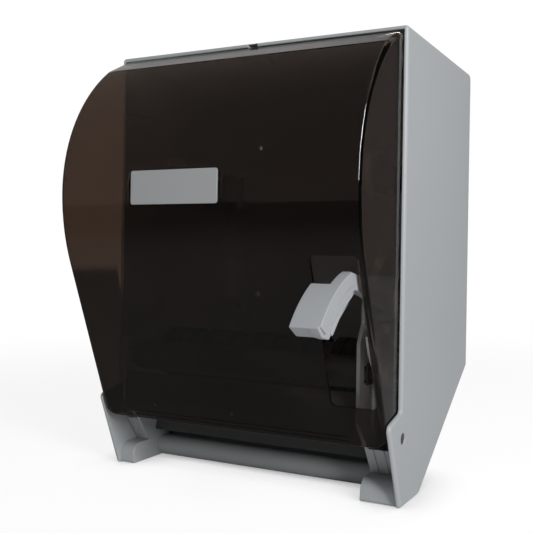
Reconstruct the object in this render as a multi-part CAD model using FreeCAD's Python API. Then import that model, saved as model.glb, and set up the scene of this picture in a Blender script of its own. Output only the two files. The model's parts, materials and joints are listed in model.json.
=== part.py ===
"""Lever roll-towel dispenser: a wall cabinet, a smoked swing-down cover and a lever-driven feed drum.

Millimetres. X runs to the right seen from the room, Y runs back into the wall, Z is up. While the
pieces are made, heights are counted from the cabinet's lowest edge; save() then moves every piece so
that the origin lies on the wall, in the middle of the four wall screws.
"""

import FreeCAD
import Part

import math
import os

# ---- driving dimensions -------------------------------------------------------------------------

# cabinet
CABINET_WIDTH = 280.0
CABINET_HEIGHT = 371.0
CABINET_DEPTH = 173.5
WALL = 3.5
BACK_BOTTOM_HEIGHT = 88.8          # lower edge of the back wall
UNDERSIDE_FOOT_DEPTH = 131.0       # where the sloping underside meets the level foot
EAR_TOP_HEIGHT = 73.5              # where the ears step forward
EAR_NOSE_DEPTH = 198.5
EAR_NOSE_HEIGHT = 67.0
TOP_REAR_R = 6.0
EAR_NOSE_R = 5.0
EAR_CORNER_R = 3.0
FOOT_CORNER_R = 10.0
UPPER_LEDGE_DROP = 49.0            # below the cabinet's top
UPPER_LEDGE_REAR_DEPTH = 122.0
LOWER_LEDGE_HEIGHT = 177.5
LOWER_LEDGE_REAR_DEPTH = 86.0
LEDGE = 2.0                        # how far a ledge stands out, and its thickness
WALL_MOUNT_HEIGHT = 230.0
WALL_MOUNT_SPACING_X = 190.0
WALL_MOUNT_SPACING_Z = 160.0
WALL_SCREW_HOLE_R = 2.75
WALL_BOSS_R = 9.0
WALL_BOSS_LENGTH = 3.0
KEY_NOTCH_WIDTH = 9.0
KEY_NOTCH_HEIGHT = 2.5
KEY_NOTCH_LENGTH = 8.0

# paper channel, between the two side plates of the mechanism
CHANNEL_LEFT = -122.0
CHANNEL_RIGHT = 105.0
PLATE = 3.0

# end blocks, floor and front rail
BLOCK_HEIGHT = 18.0
BLOCK_FRONT_DEPTH = 172.0
BLOCK_REAR_DEPTH = 120.0
BLOCK_NOSE_R = 10.0
RAIL_R = 9.3
RAIL_DEPTH = 128.7
FLOOR_THICKNESS = 4.2
STIFFENER_HEIGHT = 4.0
STIFFENER_THICKNESS = 2.0
STIFFENER_FRONT_DEPTH = 100.0
STIFFENER_PITCH = 50.0

# cover
COVER_WIDTH = 272.0
COVER_WALL = 2.5
COVER_GAP = 0.8                    # between the cover's rear edge and the cabinet's rim
COVER_TOP_DROP = 6.5               # from the cabinet's top to the cover's
CREASE_DROP = 11.6                 # from there to the crease between top strip and front
CREASE_RUN = 23.7                  # from the cover's rear edge to that crease
CREASE_R = 4.0
BULGE_DROP = 122.5                 # from the cover's top to its foremost line
BULGE_DEPTH = 249.6
LOWER_RADIUS = 177.0
LIP_FORWARD = 10.2                 # how far the lip stands in front of the side plates
LIP_HEIGHT = 48.8
FOLD_R = 4.0                       # round between the front and the side walls
LIP_CORNER_R = 12.0
OPENING_LEFT = 94.0
OPENING_RIGHT = 131.5
OPENING_BOTTOM = 80.0
OPENING_TOP = 193.0
OPENING_R = 4.0

# nameplate and its recess
NAMEPLATE_LEFT = -62.0
NAMEPLATE_WIDTH = 81.5
NAMEPLATE_HEIGHT = 26.5
NAMEPLATE_RISE = 1.75              # its middle above the cover's foremost line
NAMEPLATE_THICKNESS = 1.2
NAMEPLATE_R = 2.0
RECESS_MARGIN = 1.6
RECESS_RIGHT_MARGIN = 4.4
RECESS_DEPTH = 1.7
RECESS_R = 2.5

# cover hinge
HINGE_DEPTH = 170.3
HINGE_HEIGHT = 53.1
HINGE_PIN_R = 4.4
HINGE_LUG_R = 7.0
HINGE_COLLAR = 1.8
HINGE_COLLAR_LENGTH = 2.0
HEEL_RISE = 4.0                    # from the ears' step to the lower end of the cover's rear edge
RUNNING_GAP = 0.05                 # radial clearance of every shaft that turns

# latch
LATCH_TAB_DROP = 6.5               # below the cover's top
LATCH_TAB_THICKNESS = 2.5
LATCH_TAB_WIDTH = 24.0
LATCH_TAB_REACH = 12.0             # in front of the cover's rear edge
LATCH_WEB = 2.4
LATCH_BOLT_WIDTH = 9.0
LATCH_BOLT_THICKNESS = 4.0
LATCH_BOLT_LENGTH = 6.0
LATCH_BOLT_SETBACK = 9.5           # middle of the bolt behind the cabinet's rim
LATCH_LIFT = 1.4                   # the raised bolt's clearance over the tab
LATCH_GUIDE_GAP = 0.2
LATCH_TAB_GAP = 0.8
LATCH_GUIDE_SIDE = 8.0
LATCH_GUIDE_WALL = 2.5

# feed drum
DRUM_DEPTH = 126.0
DRUM_HEIGHT = 100.0
DRUM_R = 23.0
DRUM_CORE_R = 18.5
DRUM_WALL = 2.5
DRUM_END_GAP = 3.0
DRUM_WEB = 3.0
DRUM_WINDOW_R = 3.2
DRUM_WINDOWS = 6
SHAFT_R = 4.0
TYRE_COUNT = 5
TYRE_WIDTH = 30.0
TYRE_PITCH = 44.0
TYRE_GROOVE = 2.0
TYRE_GROOVE_DEPTH = 1.0
BUSH_R = 6.5
BUSH_FLANGE_R = 8.5
BUSH_FLANGE = 1.3
CLIP_GROOVE = 1.0                  # width of a retaining clip's groove
CLIP_GROOVE_DEPTH = 0.8
CLIP_RIM = 2.4
CLIP_SLOT = 2.8

# pinch roller
PINCH_R = 13.0
NIP_GAP = 0.3
PINCH_TRAVEL = 1.5
PINCH_GROOVE = 4.0
PINCH_GROOVE_DEPTH = 0.9
CARRIER_HEIGHT = 14.0
CARRIER_LENGTH = 15.0
CARRIER_GAP = 0.15
CARRIER_CHEEK = 1.2
CARRIER_CHEEK_RIM = 1.6
LEAF_THICKNESS = 0.6
LEAF_GAP = 0.4

# side plates
PLATE_FRONT_LAND = 8.0             # between a carrier's window and the plate's front edge
FOOT_WIDTH = 16.0
FOOT_LOW = 100.0
FOOT_HIGH = 146.0
FOOT_THICKNESS = 3.0
BOSS_DEPTH = 5.0                   # length of the bosses that the feet stand on
BOSS_RIM = 1.5
SCREW_R = 1.9
SCREW_HEAD_R = 4.0
SCREW_HEAD = 2.4
SCREW_CROSS = 4.4
SCREW_CROSS_WIDTH = 1.0
FLANGE_LOW_DEPTH = 150.5
FLANGE_HIGH_DEPTH = 163.6
FLANGE_HIGH_HEIGHT = 40.0
FLANGE_THICKNESS = 2.0
FLANGE_RIB = 1.2
UPPER_FLANGE_LOW = 74.0
UPPER_FLANGE_HIGH = 118.5
CHEEK_R = 52.0                     # rounded top of the right side plate, round the lever pivot
CHEEK_RIM = 2.0
CHEEK_RIM_WIDTH = 5.0

# front guide and cutter
GUIDE_LOW = 51.5
GUIDE_HIGH = 80.0
GUIDE_WALL = 2.2
GUIDE_RIB = 1.4
GUIDE_RIB_HEIGHTS = (63.0, 73.0)
GUIDE_LIP_RISE = 6.5
GUIDE_LIP_BACK = 5.0
BLADE_THICKNESS = 0.8
BLADE_TOOTH_PITCH = 5.0
BLADE_TOOTH_HEIGHT = 4.0
BLADE_HEIGHT = 16.0
BLADE_TIP_HEIGHT = 47.5
BLADE_LENGTH = 205.0
BLADE_SCREW_R = 1.4
BLADE_SCREW_HEAD_R = 2.8
BLADE_SCREW_HEAD = 1.6
BLADE_SCREW_PITCH = 80.0
BLADE_SCREW_RISE = 12.0            # above the teeth's tips

# rear guide
REAR_GUIDE_GAP = 3.5               # between the drum's tyres and the guide
REAR_GUIDE_WALL = 2.0
REAR_GUIDE_START = 254.0           # degrees round the drum
REAR_GUIDE_END = 300.0
FINGER_START = 262.0
FINGER_END = 286.0
FINGER_WIDTH = 6.0
FINGER_GAP = 1.2
CHUTE_FOOT = (-141.0, 26.0)

# lever and gears
GEAR_MODULE = 1.5
PRESSURE_ANGLE = 20.0
PINION_TEETH = 16
PINION_BORE_R = 8.2
SECTOR_TEETH = 80                  # teeth that a full internal gear of the sector's size would have
SECTOR_RIM = 4.5
SECTOR_WINDOW_R = 32.0
SECTOR_POCKET = 2.5                # floor left under the sector's weight-saving pocket
GEAR_BACKLASH = 0.24
GEAR_LEFT = 114.0
GEAR_RIGHT = 121.0
WINDOW_MARGIN = 2.5                # degrees between the pinion and a spoke at either end of the stroke
SPOKE = 7.0                        # degrees that a spoke of the sector fills
STOP_INNER_R = 24.0
STOP_OUTER_R = 34.0
STOP_POST = 9.0                    # degrees that a stop's post fills
BUMPER = 4.5                       # degrees that a rubber pad fills
STOP_GAP = 0.6                     # degrees between a pad and the spoke that meets it
LEVER_OFFSET = 4.0                 # lever pivot behind the drum's axis, towards the wall
LEVER_STROKE = 45.0
LEVER_HUB_R = 11.0
LEVER_PIN_R = 4.0
LEVER_PIN_HEAD = 2.0
LEVER_SCREWS = 3
LEVER_SCREW_INSET = 3.4
HANDLE_LEFT = 107.0
ARM_LEFT = 121.5
ARM_RIGHT = 130.0
ARM_STEP = 1.5                     # height of the ridge on the arm's outer side
LEVER_HEEL_DEPTH = 21.0            # how deep under the crown the arm's lower ridge ends
LEVER_HEEL = 5.5                   # width of that ridge
HANDLE_CROWN_R = 89.7
HANDLE_CROWN_DEPTH = 218.5
HANDLE_CROWN_HEIGHT = 96.8
CROWN_START = 107.5                # degrees where the crown leaves the cover's opening
CROWN_PAD = 120.0                  # where the wide pad begins
CROWN_TIP = 146.0
PAD_THICKNESS = 7.5
ARM_UNDERSIDE = ((7.8, 147.4), (17.9, 144.5), (18.2, 130.1), (17.7, 116.9), (14.4, 105.0))

# return spring of the lever
SPRING_CORE_R = 7.0
SPRING_R = 9.2                     # middle of the wire
SPRING_WIRE = 1.4
SPRING_TURNS = 3
SPRING_SIDES = 24                  # straight stretches that stand for one turn
SPRING_LEG = 13.0
SPRING_ANGLE = 215.0               # where both legs leave the coil
SPRING_END_GAP = 0.45
POST_R = 1.8
POST_LENGTH = 2.4

# one-way clutch
CLUTCH_HUB_R = 6.2
CLUTCH_ROLLER_R = 1.5
CLUTCH_ROLLERS = 3
CLUTCH_START = 30.0

# roll holder
ROLL_WIDTH = 203.0
ROLL_AXIS_DEPTH = 125.0
ROLL_AXIS_HEIGHT = 263.0
ROLL_ARM_THICKNESS = 5.0
ROLL_ARM_HEIGHT = 26.0
ROLL_ARM_NECK = 4.0                # how much lower the arm is at each edge near the roll
ROLL_ARM_WEB = 2.0
ROLL_HUB_R = 17.5
ROLL_HUB_LENGTH = 9.0
ROLL_HUB_INSERT = 7.0
ROLL_HUB_COLLAR = 4.0
ROLL_HUB_COLLAR_LENGTH = 1.6
ROLL_HUB_CHAMFER = 2.0
ROLL_HUB_WALL = 3.0
ROLL_HUB_GAP = 0.3
ROLL_ARM_PIN_R = 2.5
ROLL_ARM_PIN_DEPTH = 15.0
ARM_LUG_HEIGHT = 6.0
ARM_LUG_GAP = 0.4
ARM_LUG_R = 6.5
ARM_BARREL_R = 5.5
STUB_R = 5.0

# ---- values worked out from them ----------------------------------------------------------------

HALF_WIDTH = CABINET_WIDTH / 2
INNER_HALF = HALF_WIDTH - WALL
CHANNEL_MIDDLE = (CHANNEL_LEFT + CHANNEL_RIGHT) / 2
UNDERSIDE_SLOPE = BACK_BOTTOM_HEIGHT / UNDERSIDE_FOOT_DEPTH
GEAR_CENTRES = GEAR_MODULE * (SECTOR_TEETH - PINION_TEETH) / 2
DRUM = (-DRUM_DEPTH, DRUM_HEIGHT)
LEVER = (DRUM[0] + LEVER_OFFSET, DRUM[1] + math.sqrt(GEAR_CENTRES ** 2 - LEVER_OFFSET ** 2))
HINGE = (-HINGE_DEPTH, HINGE_HEIGHT)
CROWN = (-HANDLE_CROWN_DEPTH, HANDLE_CROWN_HEIGHT)
PINCH = (DRUM[0] - DRUM_R - PINCH_R - NIP_GAP, DRUM[1])
LEAF_ROOM = PINCH_TRAVEL + 2.7     # space for a leaf spring in front of its carrier
WINDOW_FRONT = PINCH[0] - CARRIER_LENGTH / 2 - LEAF_ROOM
PLATE_FRONT = WINDOW_FRONT - PLATE_FRONT_LAND
COVER_HALF = COVER_WIDTH / 2
COVER_REAR = -(CABINET_DEPTH + COVER_GAP)
COVER_TOP_HEIGHT = CABINET_HEIGHT - COVER_TOP_DROP
BULGE_HEIGHT = COVER_TOP_HEIGHT - BULGE_DROP
CREASE = (COVER_REAR - CREASE_RUN, COVER_TOP_HEIGHT - CREASE_DROP)
CREASE_BACK = BULGE_DEPTH + CREASE[0]
UPPER_RADIUS = (CREASE_BACK ** 2 + (CREASE[1] - BULGE_HEIGHT) ** 2) / (2 * CREASE_BACK)
UPPER_CENTRE = (UPPER_RADIUS - BULGE_DEPTH, BULGE_HEIGHT)
LOWER_CENTRE = (LOWER_RADIUS - BULGE_DEPTH, BULGE_HEIGHT)
LIP = (PLATE_FRONT - LIP_FORWARD, LIP_HEIGHT)
NAMEPLATE_RIGHT = NAMEPLATE_LEFT + NAMEPLATE_WIDTH
NAMEPLATE_BOTTOM = BULGE_HEIGHT + NAMEPLATE_RISE - NAMEPLATE_HEIGHT / 2
NAMEPLATE_TOP = NAMEPLATE_BOTTOM + NAMEPLATE_HEIGHT
RECESS_FLOOR = RECESS_DEPTH - BULGE_DEPTH
LATCH_TAB_TOP = COVER_TOP_HEIGHT - LATCH_TAB_DROP
LATCH_BOLT_Y = LATCH_BOLT_SETBACK - CABINET_DEPTH
ROLL_AXIS = (-ROLL_AXIS_DEPTH, ROLL_AXIS_HEIGHT)
ROLL_LEFT = CHANNEL_MIDDLE - ROLL_WIDTH / 2
ROLL_RIGHT = CHANNEL_MIDDLE + ROLL_WIDTH / 2
LEFT_PLATE_X = (CHANNEL_LEFT - PLATE, CHANNEL_LEFT)
RIGHT_PLATE_X = (CHANNEL_RIGHT, CHANNEL_RIGHT + PLATE)
FOOT_REAR = -WALL - BOSS_DEPTH
FLANGE_LOW = (-FLANGE_LOW_DEPTH, BLOCK_HEIGHT)
FLANGE_HIGH = (-FLANGE_HIGH_DEPTH, FLANGE_HIGH_HEIGHT)
GUIDE_REAR = PLATE_FRONT + GUIDE_WALL
GUIDE_ARC_R = DRUM_R + REAR_GUIDE_GAP
TOOTH_ADDENDUM = 0.9 * GEAR_MODULE
INNER_TOOTH_ADDENDUM = 0.8 * GEAR_MODULE
TOOTH_DEDENDUM = 1.25 * GEAR_MODULE
ANY = CABINET_WIDTH + CABINET_HEIGHT   # longer than anything here, for cutting right through
OVER = 1.0                         # how far a cut goes past the face that it opens
BED = 0.5                          # how far a boss or rib goes into what it stands on


# ---- building blocks ----------------------------------------------------------------------------

def box(x0, x1, y0, y1, z0, z1):
    return Part.makeBox(x1 - x0, y1 - y0, z1 - z0, FreeCAD.Vector(x0, y0, z0))


def rod_x(radius, x0, x1, centre):
    start = FreeCAD.Vector(x0, centre[0], centre[1])
    return Part.makeCylinder(radius, x1 - x0, start, FreeCAD.Vector(1, 0, 0))


def rod_y(radius, y0, y1, x, z):
    return Part.makeCylinder(radius, y1 - y0, FreeCAD.Vector(x, y0, z), FreeCAD.Vector(0, 1, 0))


def rod_z(radius, z0, z1, x, y):
    return Part.makeCylinder(radius, z1 - z0, FreeCAD.Vector(x, y, z0), FreeCAD.Vector(0, 0, 1))


def ring_x(outer, inner, x0, x1, centre):
    return rod_x(outer, x0, x1, centre).cut(rod_x(inner, x0 - 1, x1 + 1, centre))


def rounded_wire(corners, place):
    """Closed wire through (a, b) or (a, b, radius) corners; place() puts a flat point in space."""
    count = len(corners)
    ends = []
    for index in range(count):
        a, b = corners[index][:2]
        radius = corners[index][2] if len(corners[index]) > 2 else 0.0
        before = corners[index - 1]
        after = corners[(index + 1) % count]
        u = FreeCAD.Vector(before[0] - a, before[1] - b, 0).normalize()
        w = FreeCAD.Vector(after[0] - a, after[1] - b, 0).normalize()
        here = FreeCAD.Vector(a, b, 0)
        if radius <= 0:
            ends.append((here, None, here))
            continue
        half = u.getAngle(w) / 2
        run = radius / math.tan(half)
        inward = (u + w).normalize()
        middle = here + inward * (radius / math.sin(half) - radius)
        ends.append((here + u * run, middle, here + w * run))
    edges = []
    for index in range(count):
        first, middle, last = ends[index]
        if middle is not None:
            arc = Part.Arc(place(first.x, first.y), place(middle.x, middle.y), place(last.x, last.y))
            edges.append(arc.toShape())
        following = ends[(index + 1) % count][0]
        if last.distanceToPoint(following) > 1e-6:
            edges.append(Part.LineSegment(place(last.x, last.y), place(following.x, following.y)).toShape())
    return Part.Wire(edges)


def side_prism(corners, x0, x1):
    """Solid with an outline of (y, z) or (y, z, radius) corners, from x0 to x1."""
    wire = rounded_wire(corners, lambda a, b: FreeCAD.Vector(x0, a, b))
    return Part.Face(wire).extrude(FreeCAD.Vector(x1 - x0, 0, 0))


def front_prism(corners, y0, y1):
    """Solid with an outline of (x, z) or (x, z, radius) corners, from y0 to y1."""
    wire = rounded_wire(corners, lambda a, b: FreeCAD.Vector(a, y0, b))
    return Part.Face(wire).extrude(FreeCAD.Vector(0, y1 - y0, 0))


def plan_prism(corners, z0, z1):
    """Solid with an outline of (x, y) or (x, y, radius) corners, from z0 to z1."""
    wire = rounded_wire(corners, lambda a, b: FreeCAD.Vector(a, b, z0))
    return Part.Face(wire).extrude(FreeCAD.Vector(0, 0, z1 - z0))


def rounded_rectangle(a0, a1, b0, b1, radius):
    return [(a0, b0, radius), (a1, b0, radius), (a1, b1, radius), (a0, b1, radius)]


def fuse(pieces):
    whole = pieces[0]
    if len(pieces) > 1:
        whole = whole.multiFuse(pieces[1:])
    return whole.removeSplitter()


def at_angle(centre, radius, degrees):
    """Point at a radius and an angle from a centre; 180 is the front, 270 is straight down."""
    turn = math.radians(degrees)
    return (centre[0] + radius * math.cos(turn), centre[1] + radius * math.sin(turn))


def arc_edge(centre, radius, start, end, x):
    points = [at_angle(centre, radius, angle) for angle in (start, (start + end) / 2, end)]
    return Part.Arc(*[FreeCAD.Vector(x, y, z) for y, z in points]).toShape()


def line_edge(first, last, x):
    return Part.LineSegment(FreeCAD.Vector(x, *first), FreeCAD.Vector(x, *last)).toShape()


def arc_band(centre, outer, inner, start, end, x0, x1):
    """Part of a ring between two angles."""
    edges = [
        arc_edge(centre, outer, start, end, x0),
        line_edge(at_angle(centre, outer, end), at_angle(centre, inner, end), x0),
        arc_edge(centre, inner, end, start, x0),
        line_edge(at_angle(centre, inner, start), at_angle(centre, outer, start), x0),
    ]
    return Part.Face(Part.Wire(edges)).extrude(FreeCAD.Vector(x1 - x0, 0, 0))


def edges_where(shape, test):
    return [edge for edge in shape.Edges if all(test(vertex.Point) for vertex in edge.Vertexes)]


def near(first, second):
    return abs(first - second) < 1e-3


# ---- cabinet ------------------------------------------------------------------------------------

def cabinet_side_corners():
    return [
        (0.0, CABINET_HEIGHT, TOP_REAR_R),
        (-CABINET_DEPTH, CABINET_HEIGHT),
        (-CABINET_DEPTH, EAR_TOP_HEIGHT, EAR_CORNER_R),
        (-EAR_NOSE_DEPTH, EAR_NOSE_HEIGHT, EAR_NOSE_R),
        (-CABINET_DEPTH, 0.0, EAR_CORNER_R),
        (-UNDERSIDE_FOOT_DEPTH, 0.0, FOOT_CORNER_R),
        (0.0, BACK_BOTTOM_HEIGHT, 2.0),
    ]


def underside_height(y):
    return (UNDERSIDE_FOOT_DEPTH + y) * UNDERSIDE_SLOPE


def cabinet_shell():
    shell = side_prism(cabinet_side_corners(), -HALF_WIDTH, HALF_WIDTH)
    on_top = edges_where(shell, lambda p: near(p.z, CABINET_HEIGHT) and near(abs(p.x), HALF_WIDTH))
    on_rim = edges_where(shell, lambda p: near(p.y, -CABINET_DEPTH) and p.z > EAR_TOP_HEIGHT
                         and near(abs(p.x), HALF_WIDTH))
    shell = shell.makeFillet(WALL * 0.8, on_top + on_rim)
    hollow = box(-INNER_HALF, INNER_HALF, -ANY, -WALL, -ANY, CABINET_HEIGHT - WALL)
    return shell.cut(hollow)


def end_block(x0, x1):
    corners = [
        (-BLOCK_FRONT_DEPTH, 0.0, EAR_CORNER_R),
        (-BLOCK_FRONT_DEPTH, BLOCK_HEIGHT, BLOCK_NOSE_R),
        (-BLOCK_REAR_DEPTH, BLOCK_HEIGHT),
        (-BLOCK_REAR_DEPTH, underside_height(-BLOCK_REAR_DEPTH)),
        (-UNDERSIDE_FOOT_DEPTH, 0.0, FOOT_CORNER_R),
    ]
    return side_prism(corners, x0, x1)


def wall_ledge(side, height, rear_depth):
    """Moulded ledge on the inside of a side wall."""
    x0, x1 = sorted((side * (INNER_HALF - LEDGE), side * (INNER_HALF + BED)))
    return box(x0, x1, WALL - CABINET_DEPTH, -rear_depth, height - LEDGE / 2, height + LEDGE / 2)


def wall_screw_places():
    return [(side * WALL_MOUNT_SPACING_X / 2, WALL_MOUNT_HEIGHT + level * WALL_MOUNT_SPACING_Z / 2)
            for side in (-1, 1) for level in (-1, 1)]


def chassis_screw_places():
    """(x, z) of the screws that hold the side plates' feet to the back wall."""
    inset = FOOT_WIDTH / 2 + OVER
    return [(x, z) for x in (CHANNEL_LEFT + inset, CHANNEL_RIGHT - inset)
            for z in (FOOT_LOW + FOOT_WIDTH / 2, FOOT_HIGH - FOOT_WIDTH / 2)]


def roll_arm_pin_x(side):
    edge = ROLL_LEFT if side < 0 else ROLL_RIGHT
    return edge + side * (ROLL_HUB_LENGTH - ROLL_HUB_INSERT + ROLL_ARM_THICKNESS / 2)


def arm_lug_reach():
    """How far the lugs of a roll arm reach above and below its axis."""
    return ROLL_ARM_HEIGHT / 2 + ARM_LUG_GAP + ARM_LUG_HEIGHT


def roll_arm_lugs(side):
    """Two lugs on the back wall that hold a roll arm's pin."""
    x = roll_arm_pin_x(side)
    front = -ROLL_ARM_PIN_DEPTH - ARM_LUG_R
    corners = [(x - ARM_LUG_R, BED - WALL), (x + ARM_LUG_R, BED - WALL),
               (x + ARM_LUG_R, front, ARM_LUG_R - BED), (x - ARM_LUG_R, front, ARM_LUG_R - BED)]
    top = ROLL_AXIS_HEIGHT + arm_lug_reach()
    bottom = ROLL_AXIS_HEIGHT - arm_lug_reach()
    return [plan_prism(corners, top - ARM_LUG_HEIGHT, top), plan_prism(corners, bottom, bottom + ARM_LUG_HEIGHT)]


def make_cabinet():
    pieces = [cabinet_shell()]
    pieces.append(end_block(-INNER_HALF - BED, CHANNEL_LEFT))
    pieces.append(end_block(CHANNEL_RIGHT, INNER_HALF + BED))
    for side in (-1, 1):
        pieces.append(wall_ledge(side, CABINET_HEIGHT - UPPER_LEDGE_DROP, UPPER_LEDGE_REAR_DEPTH))
        pieces.append(wall_ledge(side, LOWER_LEDGE_HEIGHT, LOWER_LEDGE_REAR_DEPTH))
        pieces.extend(roll_arm_lugs(side))
    for x, z in wall_screw_places():
        pieces.append(rod_y(WALL_BOSS_R, -WALL - WALL_BOSS_LENGTH, BED - WALL, x, z))
    for x, z in chassis_screw_places():
        pieces.append(rod_y(SCREW_HEAD_R + BOSS_RIM, FOOT_REAR, BED - WALL, x, z))
    cuts = [rod_x(HINGE_PIN_R, -HALF_WIDTH - OVER, HALF_WIDTH + OVER, HINGE)]
    half_notch = KEY_NOTCH_WIDTH / 2
    rim_bottom = CABINET_HEIGHT - WALL
    cuts.append(box(-half_notch, half_notch, -CABINET_DEPTH - OVER, KEY_NOTCH_LENGTH - CABINET_DEPTH,
                    rim_bottom - OVER, rim_bottom + KEY_NOTCH_HEIGHT))
    for x, z in wall_screw_places():
        cuts.append(rod_y(WALL_SCREW_HOLE_R, -WALL - WALL_BOSS_LENGTH - OVER, OVER, x, z))
    for x, z in chassis_screw_places():
        cuts.append(rod_y(SCREW_R, FOOT_REAR - OVER, OVER - WALL, x, z))
    reach = arm_lug_reach() + OVER
    for side in (-1, 1):
        cuts.append(rod_z(ROLL_ARM_PIN_R, ROLL_AXIS_HEIGHT - reach, ROLL_AXIS_HEIGHT + reach,
                          roll_arm_pin_x(side), -ROLL_ARM_PIN_DEPTH))
    return fuse(pieces).cut(Part.makeCompound(cuts))


def sloping_strip(rear, front, rise, height, x0, x1):
    """Strip along the underside's slope, between two depths, a little above it."""
    return side_prism([
        (rear, underside_height(rear) + rise),
        (rear, underside_height(rear) + rise + height),
        (front, underside_height(front) + rise + height),
        (front, underside_height(front) + rise),
    ], x0, x1)


def make_bottom_panel():
    """Sloping floor with the rounded rail that the towel passes over."""
    front = RAIL_R + 2 * OVER - RAIL_DEPTH
    floor = sloping_strip(-WALL, front, 0.0, FLOOR_THICKNESS, -INNER_HALF, INNER_HALF)
    web = side_prism([
        (front + OVER, underside_height(front + OVER)),
        (front + OVER, underside_height(front + OVER) + FLOOR_THICKNESS),
        (-RAIL_DEPTH, RAIL_R * 2 - 2 * OVER),
        (-RAIL_DEPTH, OVER / 2),
    ], CHANNEL_LEFT, CHANNEL_RIGHT)
    rail = rod_x(RAIL_R, CHANNEL_LEFT, CHANNEL_RIGHT, (-RAIL_DEPTH, RAIL_R))
    stiffeners = []
    for step in range(-2, 3):
        x = CHANNEL_MIDDLE + step * STIFFENER_PITCH
        stiffeners.append(sloping_strip(-WALL, -STIFFENER_FRONT_DEPTH, FLOOR_THICKNESS - BED, STIFFENER_HEIGHT,
                                        x - STIFFENER_THICKNESS / 2, x + STIFFENER_THICKNESS / 2))
    return fuse([floor, web, rail] + stiffeners)


# ---- cover --------------------------------------------------------------------------------------

def leaving_angle():
    """Angle at which the straight lower front leaves the lower arc."""
    run = (LIP[0] - LOWER_CENTRE[0], LIP[1] - LOWER_CENTRE[1])
    return math.degrees(math.atan2(run[1], run[0]) - math.acos(LOWER_RADIUS / math.hypot(*run))) % 360


def angle_of(centre, point):
    return math.degrees(math.atan2(point[1] - centre[1], point[0] - centre[0])) % 360


def crease_arc():
    """Centre of the small arc that joins the top strip to the upper front, and the strip's direction."""
    top = FreeCAD.Vector(COVER_REAR, COVER_TOP_HEIGHT, 0)
    along = (FreeCAD.Vector(*CREASE, 0) - top).normalize()
    inward = FreeCAD.Vector(-along.y, along.x, 0)
    upper = FreeCAD.Vector(*UPPER_CENTRE, 0)
    start = top + inward * CREASE_R - upper
    middle = start.dot(along)
    reach = math.sqrt(middle ** 2 - start.dot(start) + (UPPER_RADIUS - CREASE_R) ** 2)
    centre = upper + start + along * (reach - middle)
    return (centre.x, centre.y), (along.x, along.y)


def cover_line(inset, x):
    """The cover's line from the rear edge of its top strip to the lip, moved inwards by the inset."""
    crease, along = crease_arc()
    strip_angle = math.degrees(math.atan2(-along[0], along[1]))
    strip_end = at_angle(crease, CREASE_R - inset, strip_angle)
    strip_start = (COVER_REAR, strip_end[1] + (COVER_REAR - strip_end[0]) / along[0] * along[1])
    join_angle = angle_of(UPPER_CENTRE, crease)
    leave_angle = leaving_angle()
    lip = at_angle(LIP, -inset, leave_angle)
    edges = [
        line_edge(strip_start, strip_end, x),
        arc_edge(crease, CREASE_R - inset, strip_angle, join_angle, x),
        arc_edge(UPPER_CENTRE, UPPER_RADIUS - inset, join_angle, 180.0, x),
        arc_edge(LOWER_CENTRE, LOWER_RADIUS - inset, 180.0, leave_angle, x),
        line_edge(at_angle(LOWER_CENTRE, LOWER_RADIUS - inset, leave_angle), lip, x),
    ]
    return strip_start, edges, lip


def on_fold(edge):
    """True for the edges between the front and a side wall, from the top strip to the lip."""
    room = edge.BoundBox
    return (room.XLength < OVER and room.YMin < COVER_REAR - OVER and room.YMax < COVER_REAR + OVER
            and room.ZMin > LIP_HEIGHT - OVER)


def cover_outside():
    x = -COVER_HALF
    top, front, lip = cover_line(0.0, x)
    heel = (COVER_REAR, EAR_TOP_HEIGHT + HEEL_RISE)
    lug_top = (HINGE[0] + HINGE_LUG_R, HINGE[1] + HINGE_LUG_R)
    lug_low = (HINGE[0], HINGE[1] - HINGE_LUG_R)
    lug_side = (HINGE[0] + HINGE_LUG_R, HINGE[1])
    edges = front + [
        line_edge(lip, lug_low, x),
        arc_edge(HINGE, HINGE_LUG_R, -90.0, 0.0, x),
        line_edge(lug_side, lug_top, x),
        line_edge(lug_top, heel, x),
        line_edge(heel, top, x),
    ]
    solid = Part.Face(Part.Wire(edges)).extrude(FreeCAD.Vector(COVER_WIDTH, 0, 0))
    return solid.makeFillet(FOLD_R, [edge for edge in solid.Edges if on_fold(edge)])


def cover_inside():
    x = -COVER_HALF + COVER_WALL
    roof, front, lip = cover_line(COVER_WALL, x)
    below = (lip[0], 0.0)
    edges = front + [
        line_edge(lip, below, x),
        line_edge(below, (ANY, below[1]), x),
        line_edge((ANY, below[1]), (ANY, roof[1]), x),
        line_edge((ANY, roof[1]), roof, x),
    ]
    return Part.Face(Part.Wire(edges)).extrude(FreeCAD.Vector(COVER_WIDTH - 2 * COVER_WALL, 0, 0))


def lip_corner_cut(side):
    """What is taken off a lower front corner to round it."""
    middle = side * (COVER_HALF - LIP_CORNER_R)
    x0, x1 = sorted((middle, side * (COVER_HALF + OVER)))
    rear = HINGE[0] - HINGE_LUG_R * 2
    corner = box(x0, x1, -ANY, rear, LIP_HEIGHT - 3 * OVER, LIP_HEIGHT + LIP_CORNER_R)
    return corner.cut(rod_y(LIP_CORNER_R, -ANY, rear + OVER, middle, LIP_HEIGHT + LIP_CORNER_R))


def latch_tab():
    """Tab behind the cover's top edge, with the hole that the bolt drops into."""
    half = LATCH_TAB_WIDTH / 2
    low = LATCH_TAB_TOP - LATCH_TAB_THICKNESS
    x0, x1, y0, y1 = latch_room(LATCH_TAB_GAP)
    front = COVER_REAR - LATCH_TAB_REACH
    tab = box(-half, half, front, y1 + LATCH_BOLT_THICKNESS, low, LATCH_TAB_TOP)
    webs = [box(x, x + LATCH_WEB, front, COVER_REAR, low, COVER_TOP_HEIGHT - COVER_WALL)
            for x in (-half, half - LATCH_WEB)]
    return fuse([tab] + webs).cut(box(x0, x1, y0, y1, low - OVER, LATCH_TAB_TOP + OVER))


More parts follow.
